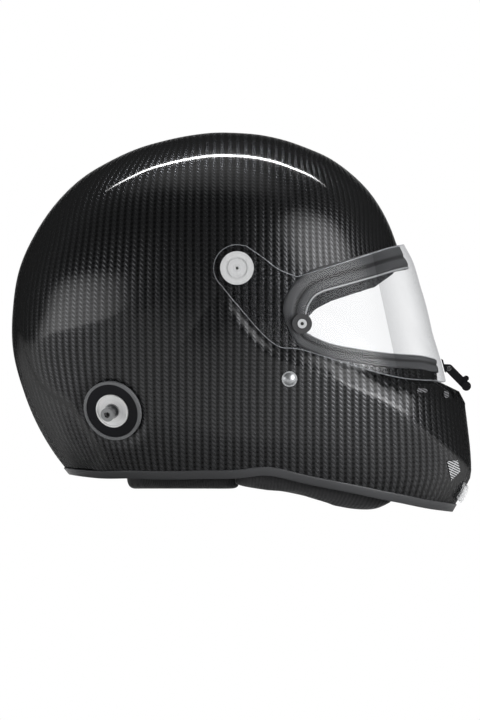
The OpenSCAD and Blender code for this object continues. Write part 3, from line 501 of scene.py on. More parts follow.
# Metres for a thousand of the photo's pixels, and the crease at the back in those
PHOTO_SCALE = 0.76087
REAR_CREASE = [(-0.2340, -0.0350), (-0.2150, -0.0650), (-0.1960, -0.1095), (-0.1635, -0.1335),
    (-0.1465, -0.1555), (-0.1345, -0.1755), (-0.1215, -0.2055), (-0.1180, -0.2300)]
CREASE_HEIGHT = 2.2 * MM
CREASE_DEPTH = 3.4 * MM
CREASE_REACH = 30 * MM
RECESS_DEPTH = 3 * MM
RECESS_RADIUS = 23.8 * MM
RECESS_SLOPE = 8.5 * MM

# The cloth: the middle height of its columns, their half height, their reach from the middle to
# the front and back, and the least half length it is laid over, low down and at the top
WEAVE_LEVEL = 0.13
WEAVE_RISE = 0.155
WEAVE_REACH = 0.145
WEAVE_LEAST = 0.10
WEAVE_TOP = 0.07


def relief(p):
    """Small forms pressed into the shell: the crease at the back and the anchor's recess."""
    place, normal = anchor_frame()
    out = crown.outward(p)
    path = spline([crown.on_side(x * PHOTO_SCALE, z * PHOTO_SCALE) for x, z in REAR_CREASE], 8)
    gap, _ = nearest(p, path)
    flat = path[:, [0, 2]]
    below = within(p[:, [0, 2]], np.vstack([flat, [[flat[-1, 0], -1], [-1, -1], [-1, flat[0, 1]]]]))
    fade = ease((p[:, 2] - 30 * MM) / (30 * MM)) * ease((np.abs(p[:, 1]) - 20 * MM) / (50 * MM))
    tent = CREASE_HEIGHT * np.clip(1 - gap / CREASE_REACH, 0, 1) ** 1.5
    dip = ease(gap / (11 * MM)) * (1 - ease((gap - 10 * MM) / CREASE_REACH))
    hollow = np.where(below, CREASE_DEPTH * dip, 0)
    p = p + ((tent - hollow) * fade)[:, None] * out
    d = p - place
    height = d @ normal
    r = np.linalg.norm(d - height[:, None] * normal, axis=1)
    w = 1 - ease((r - RECESS_RADIUS) / RECESS_SLOPE)
    return p + (w * (-RECESS_DEPTH - height))[:, None] * normal


def weave_places(p):
    """Where each point lies on the cloth: columns run over the helmet and follow its outline.

    Towards the front and back they turn into meridians, which show as nested arches at the back.
    """
    ends = []
    for form, a in ((jaw, np.linspace(-88, 90, 90)), (crown, np.linspace(-92, -270, 90))):
        edge = form.at(a, np.ones(len(a)))
        far = np.interp(p[:, 2], edge[:, 2], np.abs(edge[:, 0]))
        top = WEAVE_TOP * ease((p[:, 2] - 0.17) / 0.08)
        ends.append(np.maximum(np.hypot(far, top), WEAVE_LEAST))
    half = np.where(p[:, 0] > 0, ends[0], ends[1])
    over = np.clip(p[:, 0] / half, -1, 1)
    reach = WEAVE_REACH + (half - WEAVE_REACH) * (1 - over * over)
    flat = np.hypot(p[:, 1] / WIDTH, 0.8 * over)
    tilt = np.arctan2((p[:, 2] - WEAVE_LEVEL) / WEAVE_RISE, flat)
    return np.stack([reach * np.arcsin(over), WEAVE_REACH * tilt], -1)


def set_weave(obj):
    mesh = obj.data
    uv = weave_places(places_of(mesh))
    index = np.empty(len(mesh.loops), int)
    mesh.loops.foreach_get("vertex_index", index)
    mesh.uv_layers.new(name="weave").data.foreach_set("uv", uv[index].ravel())


def smooth_crease(verts, edges, weight):
    """Evens vertices out with their neighbours, by a weight."""
    for _ in range(5):
        total = np.zeros_like(verts)
        count = np.zeros(len(verts))
        for i, j in ((0, 1), (1, 0)):
            np.add.at(total, edges[:, i], verts[edges[:, j]])
            np.add.at(count, edges[:, i], 1)
        mean = total / np.maximum(count, 1)[:, None]
        verts = verts + (weight * 0.5)[:, None] * (mean - verts)
    return verts


def make_shell():
    points, tris, in_jaw, under_edge, outer, inner = split_shell_sheet()
    places, crease = shell_places(points, in_jaw, under_edge, outer, inner)
    verts, faces, source = both_sides(places, tris)
    edges = Counter(edges_of(faces))
    weight = np.exp(-(crease[source] / CREASE_WIDTH) ** 2)
    weight[[i for edge, count in edges.items() if count == 1 for i in edge]] = 0
    verts = smooth_crease(verts, np.array(sorted(edges)), weight)
    turn = np.where(verts[:, 1:2] <= 0, 1, MIRRORED)
    obj = mesh_object("shell_skin", relief(verts * turn) * turn, faces)
    fair_faces(obj)
    modify(obj, "SOLIDIFY", thickness=WALL, offset=-1, use_even_offset=True, use_rim=True)
    obj.data.set_sharp_from_angle(angle=math.radians(42))
    set_weave(obj)
    return obj


def make_screen():
    """The visor: a clipped sheet of its form with an ear round each pivot."""
    points, tris = sheet(48, 220)
    upper, lower = spline(SCREEN_EDGE[:9], 6), spline(SCREEN_EDGE[10:], 6)
    line = side_disc(screen, *np.vstack([upper, SCREEN_EDGE[9:10], lower]).T)
    turn = np.linspace(0, 360, 73)[:-1]
    ear = disc(turn, EAR_SHARE * LENGTH / screen.radius(turn))

    sides = side_of(line, line[:1]), side_of(np.vstack([ear, ear[:1]]), ear[:1])
    points, tris = split(points, tris, lambda p: np.maximum(*(side(p) for side in sides)), 1)
    verts, faces, _ = both_sides(screen.at(*from_disc(points)), tris)
    obj = mesh_object("visor_screen", verts, faces)
    fair_faces(obj)
    for m in range(3):
        obj.data.materials.append(None)
    modify(obj, "SOLIDIFY", thickness=VISOR_WALL, offset=-1, use_even_offset=True, use_rim=True,
        material_offset=2, material_offset_rim=1)
    modify(obj, "BEVEL", width=0.0006, segments=1, limit_method="ANGLE", angle_limit=1.0, material=1)
    obj.data.set_sharp_from_angle(angle=math.radians(35))
    return obj


def run_loop(name, form, path, section):
    """Tube whose section follows a form along a path of points."""
    path = np.asarray(path)
    ahead = np.roll(path, -1, 0) - np.roll(path, 1, 0)
    across = unit(np.cross(form.outward(path), ahead))
    rings = []
    for out, over in section(path):
        foot = form.onto(path + np.asarray(over)[..., None] * across)
        rings.append(foot + np.asarray(out)[..., None] * form.outward(foot))
    obj = loop_object(name, np.stack(rings, 1))
    layer = obj.data.attributes.new("band", "FLOAT", "POINT")
    layer.data.foreach_set("value", np.tile(np.arange(len(rings), dtype=float), len(path)))
    return obj


def base_path():
    return mirrored_loop(jaw.at(*base_pairs(HALF_BASE)), 2 * HALF_BASE)


def port_path():
    return mirrored_loop(crown.at(*port_pairs()), 2 * HALF_PORT)


def mirrored_loop(right, count):
    """Closed loop from its right half, which starts and ends on the centre plane."""
    return even_loop(np.vstack([right, right[-2:0:-1] * MIRRORED]), count)


def even_loop(points, count):
    """Closed loop of points at even distances."""
    p = np.vstack([points, points[:1]])
    s = np.concatenate(([0], np.cumsum(np.linalg.norm(np.diff(p, axis=0), axis=1))))
    at = np.arange(count) / count * s[-1]
    return np.stack([np.interp(at, s, p[:, k]) for k in range(3)], -1)


def make_trim():
    """The base band. Its section's outline is given as how far out and how far across, in mm."""
    shape = [(1.0, 1.55), (1.2, 1.2), (1.2, -4.4), (1.05, -4.9), (0.6, -5.2), (0.05, -5.2),
        (0.02, -2), (0.02, 0.3), (-4.0, 0.35), (-4.1, -5.1), (-5.5, -5.1), (-5.65, 1.2),
        (-5.3, 1.8), (-2.0, 1.8), (0.5, 1.8)]
    return run_loop("base_band", jaw, base_path(), lambda p: [(o * MM, c * MM) for o, c in shape])


def make_seal():
    """The eye port's band, wider at the brow. Its section's outline is given as how far out, in mm,
    and how far across: below 0 as a share of its reach on the shell, above 0 of that in the port.
    """
    on_shell, in_port, brow = 8 * MM, 3 * MM, 4.2 * MM
    shape = [(0.3, -1), (0.95, -0.985), (1.4, -0.93), (1.5, -0.80), (1.5, -0.55), (1.3, -0.36),
        (0.9, -0.28), (0.85, -0.18), (1.3, -0.08), (1.6, 0.05), (1.65, 0.45), (1.5, 0.62), (0.9, 0.68),
        (0.9, 0.75), (1.2, 0.80), (1.0, 0.95), (0.2, 1), (-2.2, 1), (-2.4, 0.8), (-2.4, 0.4),
        (0.05, 0.15), (0.05, -0.5)]

    def section(path):
        wide = brow * ease((path[:, 2] - PIVOT_Z + 0.150 * LENGTH) / (0.070 * LENGTH))
        return [(np.full(len(path), out * MM), over * ((on_shell if over < 0 else in_port) + wide))
            for out, over in shape]

    return run_loop("port_band", crown, port_path(), section)


def make_lip():
    """The clear edge at the foot of the chin. Rows hold angles and how far out, in steps of 2 mm."""
    rows = [(-43.3, 0.15), (-43.3, 1.0), (-43.9, 1.5), (-44.9, 1.9), (-45.7, 1.95), (-46.35, 1.75),
        (-46.4, 1.5), (-46.2, 0.95), (-45.5, 1.0), (-44.8, 1.05), (-43.9, 0.6)]
    reach = 11
    rings = []
    for s in np.linspace(90 - reach, 90 + reach, 41):
        share, side = station_share(min(s, 180 - s)), 1 if s <= 90 else -1
        rings.append([Form(jaw.curve, WIDTH, out * 2 * MM, True).at(a, share, side) for a, out in rows])
    return loop_object("chin_edge", rings, closed=False)


# Shader maths
TURN = 6.2832


def operator(kind, swapped=False):
    """An arithmetic method that adds one kind of maths node."""
    def method(self, other):
        return self.paint.math(kind, *((other, self) if swapped else (self, other)))
    return method


class Val:
    """A shader value that takes part in ordinary arithmetic."""

    def __init__(self, paint, socket):
        self.paint, self.socket = paint, socket

    __add__ = operator("ADD")
    __radd__ = operator("ADD", True)
    __sub__ = operator("SUBTRACT")
    __rsub__ = operator("SUBTRACT", True)
    __mul__ = operator("MULTIPLY")
    __rmul__ = operator("MULTIPLY", True)
    __truediv__ = operator("DIVIDE")
    __pow__ = operator("POWER")
    most = operator("MAXIMUM")

    def abs(self):
        return self.paint.math("ABSOLUTE", self)

    def fract(self):
        return self.paint.math("FRACT", self)

    def wave(self):
        """0 to 1 and back, once for each unit."""
        return self.paint.math("SINE", self * TURN) * 0.5 + 0.5

    def ramp(self, low, high):
        """0 at low, 1 at high, smooth between."""
        return self.paint.node("MapRange", "Result", {"Value": self, "From Min": low, "From Max": high},
            interpolation_type="SMOOTHSTEP")


class Paint:
    """A procedural material being built."""

    def __init__(self, name, **constants):
        self.mat = bpy.data.materials.new(name)
        self.mat.use_nodes = True
        self.tree = self.mat.node_tree
        self.shader = self.tree.nodes["Principled BSDF"]
        self.feed(**constants)

    def link(self, value, socket):
        if isinstance(value, Val):
            self.tree.links.new(value.socket, socket)
        elif socket.type == "RGBA":
            socket.default_value = (*value, 1)
        else:
            socket.default_value = value

    def node(self, kind, output=0, inputs=None, **settings):
        node = self.tree.nodes.new("ShaderNode" + kind)
        for key, value in settings.items():
            setattr(node, key, value)
        for key, value in (inputs or {}).items():
            self.link(value, node.inputs[key])
        return Val(self, node.outputs[output])

    def math(self, kind, *values):
        return self.node("Math", 0, dict(enumerate(values)), operation=kind)

    def place(self):
        return self.node("TexCoord", "Object")

    def xyz(self, vector=None):
        parts = self.node("SeparateXYZ", 0, {0: vector or self.place()}).socket.node
        return [Val(self, s) for s in parts.outputs]

    def noise(self, scale, detail=3.0, vector=None):
        return self.node("TexNoise", "Fac", {"Vector": vector or self.place(), "Scale": scale,
            "Detail": detail, "Roughness": 0.5})

    def facing(self):
        """0 seen square on, 1 at the rim: the lacquer's gloss dies away there."""
        return self.node("LayerWeight", "Facing", {"Blend": 0.5}) ** 2

    def cells(self, scale):
        return self.node("TexVoronoi", "Distance", {"Vector": self.place(), "Scale": scale})

    def mix(self, factor, a, b):
        return self.node("Mix", 2, {"Factor": factor, 6: a, 7: b}, data_type="RGBA")

    def band(self):
        return self.node("Attribute", "Fac", attribute_name="band")

    def feed(self, **values):
        for key, value in values.items():
            self.link(value, self.shader.inputs[key.replace("_", " ")])

    def bump(self, height, depth, strength):
        self.feed(Normal=self.node("Bump", 0, {"Height": height, "Distance": depth, "Strength": strength}))

    def axis_distance(self, centre, normal):
        """Distance from an axis, in metres."""
        centre, normal = (tuple(map(float, v)) for v in (centre, normal))
        away = self.node("VectorMath", 0, {0: self.place(), 1: centre}, operation="SUBTRACT")
        along = self.node("VectorMath", "Value", {0: away, 1: normal}, operation="DOT_PRODUCT")
        long = self.node("VectorMath", "Value", {0: away}, operation="LENGTH")
        return (long * long - along * along).most(0.0) ** 0.5


def scaled(tone, share):
    return tuple(c * share for c in tone)


def carbon_paint(look):
    """Twill under lacquer: columns of slanted strands with dark gaps between them."""
    p = Paint("clear_coated_carbon", Specular_IOR_Level=0.1, Specular_Tint=(0.04, 0.04, 0.04),
        Coat_Roughness=0.08, Coat_IOR=1.7)
    u, v, _ = p.xyz(p.node("UVMap", uv_map="weave"))
    wobble = p.noise(9.0, 1.0) - 0.5
    inside = (u / look.column + wobble * 0.35).fract() - 0.5
    along = v / look.bead + inside * 1.3 + wobble * 0.3
    bead = along.wave() ** 0.6
    strand = 1 - (inside.abs() + (bead - 0.5) * 0.10).ramp(0.12, 0.46)
    thread = strand * (bead * 0.7 + 0.3)
    cross = (1 - strand) * (along + 0.5).wave()
    shade = p.noise(2.2, 2.0).ramp(0.3, 0.7) * 0.3 + 0.7
    glow = (thread * 0.95 + cross * 0.2) * shade
    rim = p.facing()
    p.feed(Base_Color=p.mix(glow, look.resin, look.strand),
        Roughness=0.36 - thread * 0.12, Metallic=thread * 0.15 + 0.82,
        Coat_Weight=(1 - rim) ** 2 * (rim.ramp(0.0, 0.18) * 0.7 + 0.3) * look.lacquer)
    p.bump(thread, 0.0004, 0.7)
    return p.mat


def rubber_paint(name, tone, rough):
    p = Paint(name, Specular_IOR_Level=0.4)
    grain = p.noise(900.0)
    cloud = p.noise(14.0, 3.0)
    p.feed(Base_Color=p.mix(cloud.ramp(0.3, 0.7), scaled(tone, 0.78), tone),
        Roughness=rough + grain * 0.12 - 0.06)
    p.bump(grain, 0.0001, 0.35)
    return p.mat


def seal_paint(look):
    """Moulded rubber with painted shade in its two grooves and pale stripes along it."""
    p = Paint("port_rubber", Specular_IOR_Level=0.4)
    band = p.band()
    # Painted shade: the section's two grooves are painted near black
    groove_shade = band.ramp(4.6, 5.6) * (1 - band.ramp(7.2, 8.2))
    groove_shade = groove_shade + band.ramp(11.2, 11.8) * (1 - band.ramp(12.6, 13.2))
    pale = band.ramp(12.8, 13.6) * (1 - band.ramp(14.6, 15.2))
    cloud = p.noise(18.0, 3.0)
    body = p.mix(cloud, scaled(look.port, 0.8), look.port)
    body = p.mix(pale, body, look.stripe)
    p.feed(Base_Color=p.mix(groove_shade, body, (0.012, 0.012, 0.013)), Roughness=0.5 - pale * 0.15)
    p.bump(p.noise(900.0, 3.0), 0.0001, 0.3)
    return p.mat


def metal_paint(name, tone, rough, centre=None, normal=None, pitch=0.4 * MM, sheen=1.0, socket_shade_radius=MM):
    """Metal with fine scratches, or turned about an axis, with painted shade in the socket at its middle.
    """
    p = Paint(name, Metallic=sheen)
    cloud = p.noise(60.0, 4.0)
    if centre is None:
        scratch = p.noise(700.0, 2.0)
        p.feed(Base_Color=p.mix(cloud, scaled(tone, 0.85), tone), Roughness=rough + cloud * 0.1)
        p.bump(scratch, 0.00003, 0.2)
        return p.mat
    r = p.axis_distance(centre, normal)
    rings = p.noise(1.0, 2.0, vector=p.node("CombineXYZ", 0, {0: r / pitch, 1: 0.3, 2: 0.7}))
    face = p.mix(rings, scaled(tone, 0.6), tone)
    # Painted shade: near black within the socket's radius
    p.feed(Base_Color=p.mix(r.ramp(socket_shade_radius * 0.8, socket_shade_radius), (0.02, 0.02, 0.02), face),
        Roughness=rough + rings * 0.14)
    p.bump(rings, 0.00004, 0.5)
    return p.mat


def plastic_paint(name, tone):
    p = Paint(name, Specular_IOR_Level=0.45)
    grain = p.cells(1500.0)
    cloud = p.noise(30.0, 3.0)
    p.feed(Base_Color=p.mix(cloud, scaled(tone, 0.7), tone), Roughness=0.42 + cloud * 0.1)
    p.bump(grain, 0.00006, 0.3)
    return p.mat


def foam_paint():
    p = Paint("expanded_foam", Roughness=0.85)
    beads = p.cells(330.0)
    p.feed(Base_Color=p.mix(beads.ramp(0.2, 0.8), (0.035, 0.037, 0.04), (0.012, 0.012, 0.014)),
        Roughness=0.8 + beads * 0.1)
    p.bump(1 - beads, 0.0005, 0.6)
    return p.mat


def knit_paint(name, tone, rib):
    """Ribbed knit: fine upright ribs with stitches across them."""
    p = Paint(name, Roughness=0.88, Sheen_Weight=0.25, Sheen_Roughness=0.5)
    x, y, z = p.xyz()
    turn = p.node("Math", 0, {0: y, 1: x}, operation="ARCTAN2") * 0.085
    ribs = (turn / rib).wave()
    loops = (z / 0.0011 + ribs * 0.5).wave()
    fuzz = p.noise(450.0, 3.0)
    body = ribs * 0.7 + loops * 0.3
    p.feed(Base_Color=p.mix(body * 0.7 + fuzz * 0.3, scaled(tone, 0.45), tone),
        Roughness=0.82 + fuzz * 0.12)
    p.bump(body + fuzz * 0.2, 0.00045, 0.6)
    return p.mat


def webbing_paint():
    p = Paint("woven_webbing", Roughness=0.8, Sheen_Weight=0.2)
    x, y, z = p.xyz()
    rib = (x / 0.0016).wave()
    diag = ((x + z + y) / 0.0013).wave()
    p.feed(Base_Color=p.mix(rib * 0.5 + diag * 0.5, (0.006, 0.006, 0.007), (0.03, 0.03, 0.032)),
        Roughness=0.75 + rib * 0.1)
    p.bump(rib * 0.6 + diag * 0.4, 0.0003, 0.6)
    return p.mat


def mesh_paint(name, tone):
    """Fine wire mesh: bright wires with dark holes between them."""
    p = Paint(name)
    x, _, z = p.xyz()
    one = (((x * 0.5 + z) / 0.0019).fract() - 0.5).abs()
    two = (((x - z * 0.5) / 0.0060).fract() - 0.5).abs()
    wire = one.ramp(0.18, 0.34).most(two.ramp(0.46, 0.49))
    p.feed(Base_Color=p.mix(wire, (0.004, 0.004, 0.004), tone), Roughness=0.75 - wire * 0.3,
        Metallic=wire * 0.3)
    p.bump(wire, 0.0002, 0.8)
    return p.mat


def clear_paint(name, tint, streak_and_shade_tint, mirror, shaded=False):
    """Thin clear plastic: see-through with faint grey streaks, with painted shade towards the front when
    shaded, and a mirror at grazing angles.
    """
    p = Paint(name)
    tree = p.tree
    tree.nodes.remove(p.shader)
    streak_and_shade = p.noise(6.0, 2.0) * 0.02
    if shaded:
        x, _, z = p.xyz()
        # How far in front of a slanted line, from which painted shade darkens the plastic
        d = x * 0.978 + z * 0.2108 - 0.13829
        rim = p.node("LayerWeight", "Facing", {"Blend": 0.5})
        edge = d.ramp(0.0, 0.0006)
        # Painted shade: grey mixed in just past the line, fading out over about 2 cm, and more at grazing
        # angles
        streak_and_shade = streak_and_shade + edge * (1 - d.ramp(-0.006, 0.022)) * 0.42 + edge * rim.ramp(0.45, 1.0) * 0.6
    clear = p.node("BsdfTransparent", 0, {"Color": tint})
    grey = p.node("BsdfTransparent", 0, {"Color": streak_and_shade_tint})
    pane = p.node("MixShader", 0, {0: streak_and_shade, 1: clear, 2: grey})
    gloss = p.node("BsdfGlossy", 0, {"Color": (1.0, 1.0, 1.0), "Roughness": 0.03})
    both = p.node("MixShader", 0, {0: p.facing() * mirror * 10 + mirror, 1: pane, 2: gloss})
    tree.links.new(both.socket, tree.nodes["Material Output"].inputs["Surface"])
    return p.mat


def edge_paint():
    """The ground edge of clear plastic, which gathers light."""
    p = Paint("clear_edge", Specular_IOR_Level=0.6)
    haze = p.noise(120.0, 2.0)
    p.feed(Base_Color=p.mix(haze, (0.30, 0.31, 0.33), (0.55, 0.57, 0.60)), Roughness=0.25 + haze * 0.2,
        Alpha=0.35 + haze * 0.4)
    return p.mat


# Soft pieces
def solid_copy(node, name):
    obj = bpy.data.objects.new(name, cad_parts[node].data.copy())
    obj.data.materials.clear()
    bpy.context.scene.collection.objects.link(obj)
    return obj


def soft_piece(node, name, shrink, cap, voxel=5 * MM, pressure=4.0, more=(0, 0)):
    """A padded piece grown from a slightly smaller copy of its solid."""
    obj = solid_copy(node, name)
    modify(obj, "REMESH", mode="VOXEL", voxel_size=voxel)
    modify(obj, "SMOOTH", factor=0.5, iterations=2)
    modify(obj, "DISPLACE", strength=-shrink, mid_level=0.0)
    inflate(obj, cap, pressure)
    modify(obj, "SMOOTH", factor=0.5, iterations=3)
    modify(obj, "SUBSURF", levels=1)
    fit(obj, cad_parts[node].data, more)
    obj.data.shade_smooth()
    return obj


def fit(obj, source, more):
    """Sizes a piece to its solid's box, with more at its back and front and its foot just above."""
    foot = 0.3 * MM
    solid, co = places_of(source), places_of(obj.data)
    low = solid.min(0) + [more[0], 0, foot]
    high = solid.max(0) + [more[1], 0, 0]
    co = low + (co - co.min(0)) * (high - low) / (co.max(0) - co.min(0))
    obj.data.vertices.foreach_set("co", co.ravel())
    obj.data.update()


def inflate(obj, cap, pressure):
    """Blows a piece up as cloth, by no more than the cap at any vertex."""
    frames = 20
    start = places_of(obj.data)
    cloth = obj.modifiers.new("cloth", "CLOTH")
    cloth.settings.use_pressure = True
    cloth.settings.uniform_pressure_force = pressure
    cloth.settings.effector_weights.gravity = 0
    cloth.settings.quality = 5
    scene = bpy.context.scene
    scene.frame_start, scene.frame_end = 1, frames
    for step in range(1, frames + 1):
        scene.frame_set(step)
    graph = bpy.context.evaluated_depsgraph_get()
    end = places_of(obj.evaluated_get(graph).data)
    obj.modifiers.remove(cloth)
    scene.frame_set(1)
    move = end - start
    far = np.linalg.norm(move, axis=1, keepdims=True)
    move = move * np.minimum(1, cap / np.maximum(far, 1e-9))
    obj.data.vertices.foreach_set("co", (start + move).ravel())
    obj.data.update()


def places_of(mesh):
    co = np.empty(len(mesh.vertices) * 3)
    mesh.vertices.foreach_get("co", co)
    return co.reshape(-1, 3)


def paint(obj, *materials):
    index = np.empty(len(obj.data.polygons), int)
    obj.data.polygons.foreach_get("material_index", index)
    obj.data.materials.clear()
    for m in materials:
        obj.data.materials.append(m)
    obj.data.polygons.foreach_set("material_index", np.minimum(index, len(materials) - 1))


def paint_node(node, material):
    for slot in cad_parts[node].material_slots:
        slot.link = "OBJECT"
        slot.material = material


# Sizes and finishes a user can change
def colour(name, text, value):
    return bpy.props.FloatVectorProperty(name=name, description=text, subtype="COLOR", size=3, min=0.0,
        max=1.0, default=value)


def length(name, text, value):
    return bpy.props.FloatProperty(name=name, description=text, unit="LENGTH", default=value, min=0.0)


def factor(name, text, value):
    return bpy.props.FloatProperty(name=name, description=text, subtype="FACTOR", default=value, min=0.0,
        max=1.0)


class HelmetShellLook(bpy.types.PropertyGroup):
    strand: colour("Strand", "Lit colour of the carbon strands", (0.078, 0.079, 0.082))
    resin: colour("Resin", "Colour between the strands", (0.0012, 0.0013, 0.0014))
    column: length("Column", "Width of one column of the cloth", 0.0061)
    bead: length("Bead", "Length of one strand crossing along a column", 0.0031)
    lacquer: factor("Lacquer", "How strongly the clear lacquer mirrors", 0.8)


class HelmetTrimLook(bpy.types.PropertyGroup):
    base: colour("Base band", "Colour of the rubber round the base", (0.056, 0.057, 0.060))
    port: colour("Port band", "Colour of the rubber round the eye port", (0.056, 0.057, 0.060))
    stripe: colour("Port stripes", "Colour of the pale stripes along the port band", (0.33, 0.335, 0.345))


class HelmetPaddingLook(bpy.types.PropertyGroup):
    fabric: colour("Knit", "Colour of the ribbed knit", (0.022, 0.022, 0.024))
    rib: length("Rib", "Width of one rib of the knit", 0.0021)
    swell: length("Swell", "How far a pad swells from its start shape", 0.0035)


class HelmetStageLook(bpy.types.PropertyGroup):
    floor: colour("Floor", "Colour of the floor", (0.80, 0.80, 0.80))
    light: bpy.props.FloatProperty(name="Light", description="Strength of the lamps", default=1.0, min=0.0)


def belong(obj, material, slot, body, *nodes):
    paint(obj, *(material if isinstance(material, list) else [material]))
    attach(obj, body)
    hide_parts(*nodes)


class HELMET_OT_shell(bpy.types.Operator):
    """Lay up the carbon shell with its stepped jaw"""
    bl_idname = "helmet.shell"
    bl_label = "Carbon shell"

    def execute(self, context):
        belong(make_shell(), carbon_paint(context.scene.helmet_shell), "composite_shell", "helmet",
            "outer_shell")
        return {"FINISHED"}


class HELMET_OT_trims(bpy.types.Operator):
    """Run the rubber bands round the base and the eye port"""
    bl_idname = "helmet.trims"
    bl_label = "Rubber bands"

    def execute(self, context):
        look = context.scene.helmet_trim
        belong(make_trim(), rubber_paint("base_rubber", tuple(look.base), 0.42), "base_rubber", "helmet",
            "base_trim")
        belong(make_seal(), seal_paint(look), "seal_rubber", "helmet", "port_seal")
        return {"FINISHED"}


class HELMET_OT_screen(bpy.types.Operator):
    """Form the clear visor"""
    bl_idname = "helmet.screen"
    bl_label = "Visor"

    def execute(self, context):
        # The grey (0.56) is the colour of the painted shade on the screen's front
        face = clear_paint("clear_screen", (0.97, 0.973, 0.978), (0.56, 0.565, 0.575), 0.008, True)
        back = clear_paint("clear_screen_inside", (1.0, 1.0, 1.0), (0.99, 0.99, 0.99), 0.0)
        belong(make_screen(), [face, edge_paint(), back], "clear_screen", "visor", "visor")
        return {"FINISHED"}


class HELMET_OT_chin(bpy.types.Operator):
    """Fit the clear chin edge and the wire mesh over the vents"""
    bl_idname = "helmet.chin"
    bl_label = "Chin edge and vents"

    def execute(self, context):
        clear = clear_paint("clear_lip", (0.93, 0.935, 0.94), (0.8, 0.8, 0.81), 0.05)
        belong(make_lip(), clear, "clear_lip", "helmet", "chin_lip")
        bright = mesh_paint("wire_mesh", (0.55, 0.56, 0.57))
        dim = mesh_paint("vent_mesh", (0.16, 0.16, 0.17))
        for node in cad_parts:
            if "mesh" in node:
                paint_node(node, bright if "chin" in node else dim)
        return {"FINISHED"}


class HELMET_OT_padding(bpy.types.Operator):
    """Swell the cheek pads, lining and neck roll"""
    bl_idname = "helmet.padding"
    bl_label = "Padding"

    def execute(self, context):
        look = context.scene.helmet_padding
        knit = knit_paint("ribbed_knit", tuple(look.fabric), look.rib)
        lining = knit_paint("lining_knit", scaled(look.fabric, 5), 0.0016)
        for side in ("right", "left"):
            pad = soft_piece("cheek_pad_" + side, "cheek_cushion_" + side, 0.0022, look.swell)
            belong(pad, knit, "pad_fabric", "helmet", "cheek_pad_" + side)
        roll = soft_piece("neck_roll", "neck_cushion", 0.0012, look.swell, voxel=0.004, more=(0, 0.004))
        belong(roll, knit, "pad_fabric", "helmet", "neck_roll")
        inner = soft_piece("comfort_lining", "head_lining", 0.0006, 0.0007, voxel=0.004, pressure=1.5)
        belong(inner, lining, "lining_fabric", "helmet", "comfort_lining")
        foam = foam_paint()
        for node in ("crown_liner", "chin_liner"):
            paint_node(node, foam)
        return {"FINISHED"}


class HELMET_OT_webbing(bpy.types.Operator):
    """Weave the chin straps"""
    bl_idname = "helmet.webbing"
    bl_label = "Chin straps"

    def execute(self, context):
        cloth = webbing_paint()
        for side in ("right", "left"):
            strap = strap_piece("chin_strap_" + side, "chin_webbing_" + side)
            belong(strap, cloth, "webbing", "helmet", "chin_strap_" + side)
        return {"FINISHED"}


def strap_piece(node, name):
    """Webbing over its solid, with softened edges."""
    obj = solid_copy(node, name)
    modify(obj, "BEVEL", width=0.0005, segments=2, limit_method="ANGLE", angle_limit=0.6)
    obj.data.shade_smooth()
    return obj


class HELMET_OT_hardware(bpy.types.Operator):
    """Finish the screws, rings, anchors and latch"""
    bl_idname = "helmet.hardware"
    bl_label = "Hardware"

    def execute(self, context):
        paint_hardware()
        return {"FINISHED"}


def paint_hardware():
    black = plastic_paint("moulded_black", (0.022, 0.022, 0.024))
    dark = metal_paint("anodised_black", (0.020, 0.020, 0.022), 0.28)
    steel = metal_paint("polished_steel", (0.74, 0.75, 0.76), 0.14)
    dull = metal_paint("plain_steel", (0.45, 0.46, 0.47), 0.34)
    brass = metal_paint("brass_insert", (0.55, 0.40, 0.18), 0.3)
    gasket = rubber_paint("anchor_gasket_rubber", (0.15, 0.153, 0.158), 0.62)
    place, normal = anchor_frame()
    for side, flip in (("right", 1), ("left", -1)):
        turned = [1, flip, 1]
        pivot = np.array([PIVOT_X, 0, PIVOT_Z])
        post = screen.on_side(0.14 * LENGTH, -0.1209 * LENGTH) * turned
        out = screen.outward(post)
        # Each turned part gets painted shade in the socket at its middle
        paint_node("pivot_screw_" + side, metal_paint("turned_aluminium_" + side, (0.74, 0.745, 0.75), 0.42,
            pivot, (0, 1, 0), sheen=0.35))
        paint_node("tearoff_screw_" + side, metal_paint("turned_steel_" + side, (0.55, 0.56, 0.57), 0.3,
            post, out, 0.3 * MM, sheen=0.6, socket_shade_radius=1.5 * MM))
        paint_node("anchor_dish_" + side, metal_paint("anchor_dish_" + side, (1.0, 1.0, 1.0), 0.32,
            place * turned, normal * turned, 0.6 * MM, sheen=0.2))
        paint_node("anchor_post_" + side, metal_paint("worn_steel_" + side, (0.36, 0.365, 0.37), 0.24,
            place * turned, normal * turned, 0.8 * MM, socket_shade_radius=1.9 * MM))
        for node, material in (("pivot_washer_", black), ("pivot_insert_", brass), ("tearoff_post_", black),
                ("anchor_gasket_", gasket), ("anchor_plate_", dark), ("anchor_nut_", dull),
                ("strap_rivet_", dull), ("strap_plate_", dull)):
            paint_node(node + side, material)
    for node, material in (("d_ring_lower", steel), ("d_ring_upper", steel), ("latch_bracket", dark),
            ("latch_lever", dark), ("latch_catch", dark), ("latch_pin", black)):
        paint_node(node, material)


class HELMET_OT_stage(bpy.types.Operator):
    """Set the floor, lamps and camera"""
    bl_idname = "helmet.stage"
    bl_label = "Floor, lamps and camera"

    def execute(self, context):
        set_stage(context.scene.helmet_stage)
        return {"FINISHED"}


# The photo's height in metres, and the camera's place
PHOTO_HEIGHT = 0.547826
CAMERA_PLACE = (-0.00129, -3.0, 0.11587)
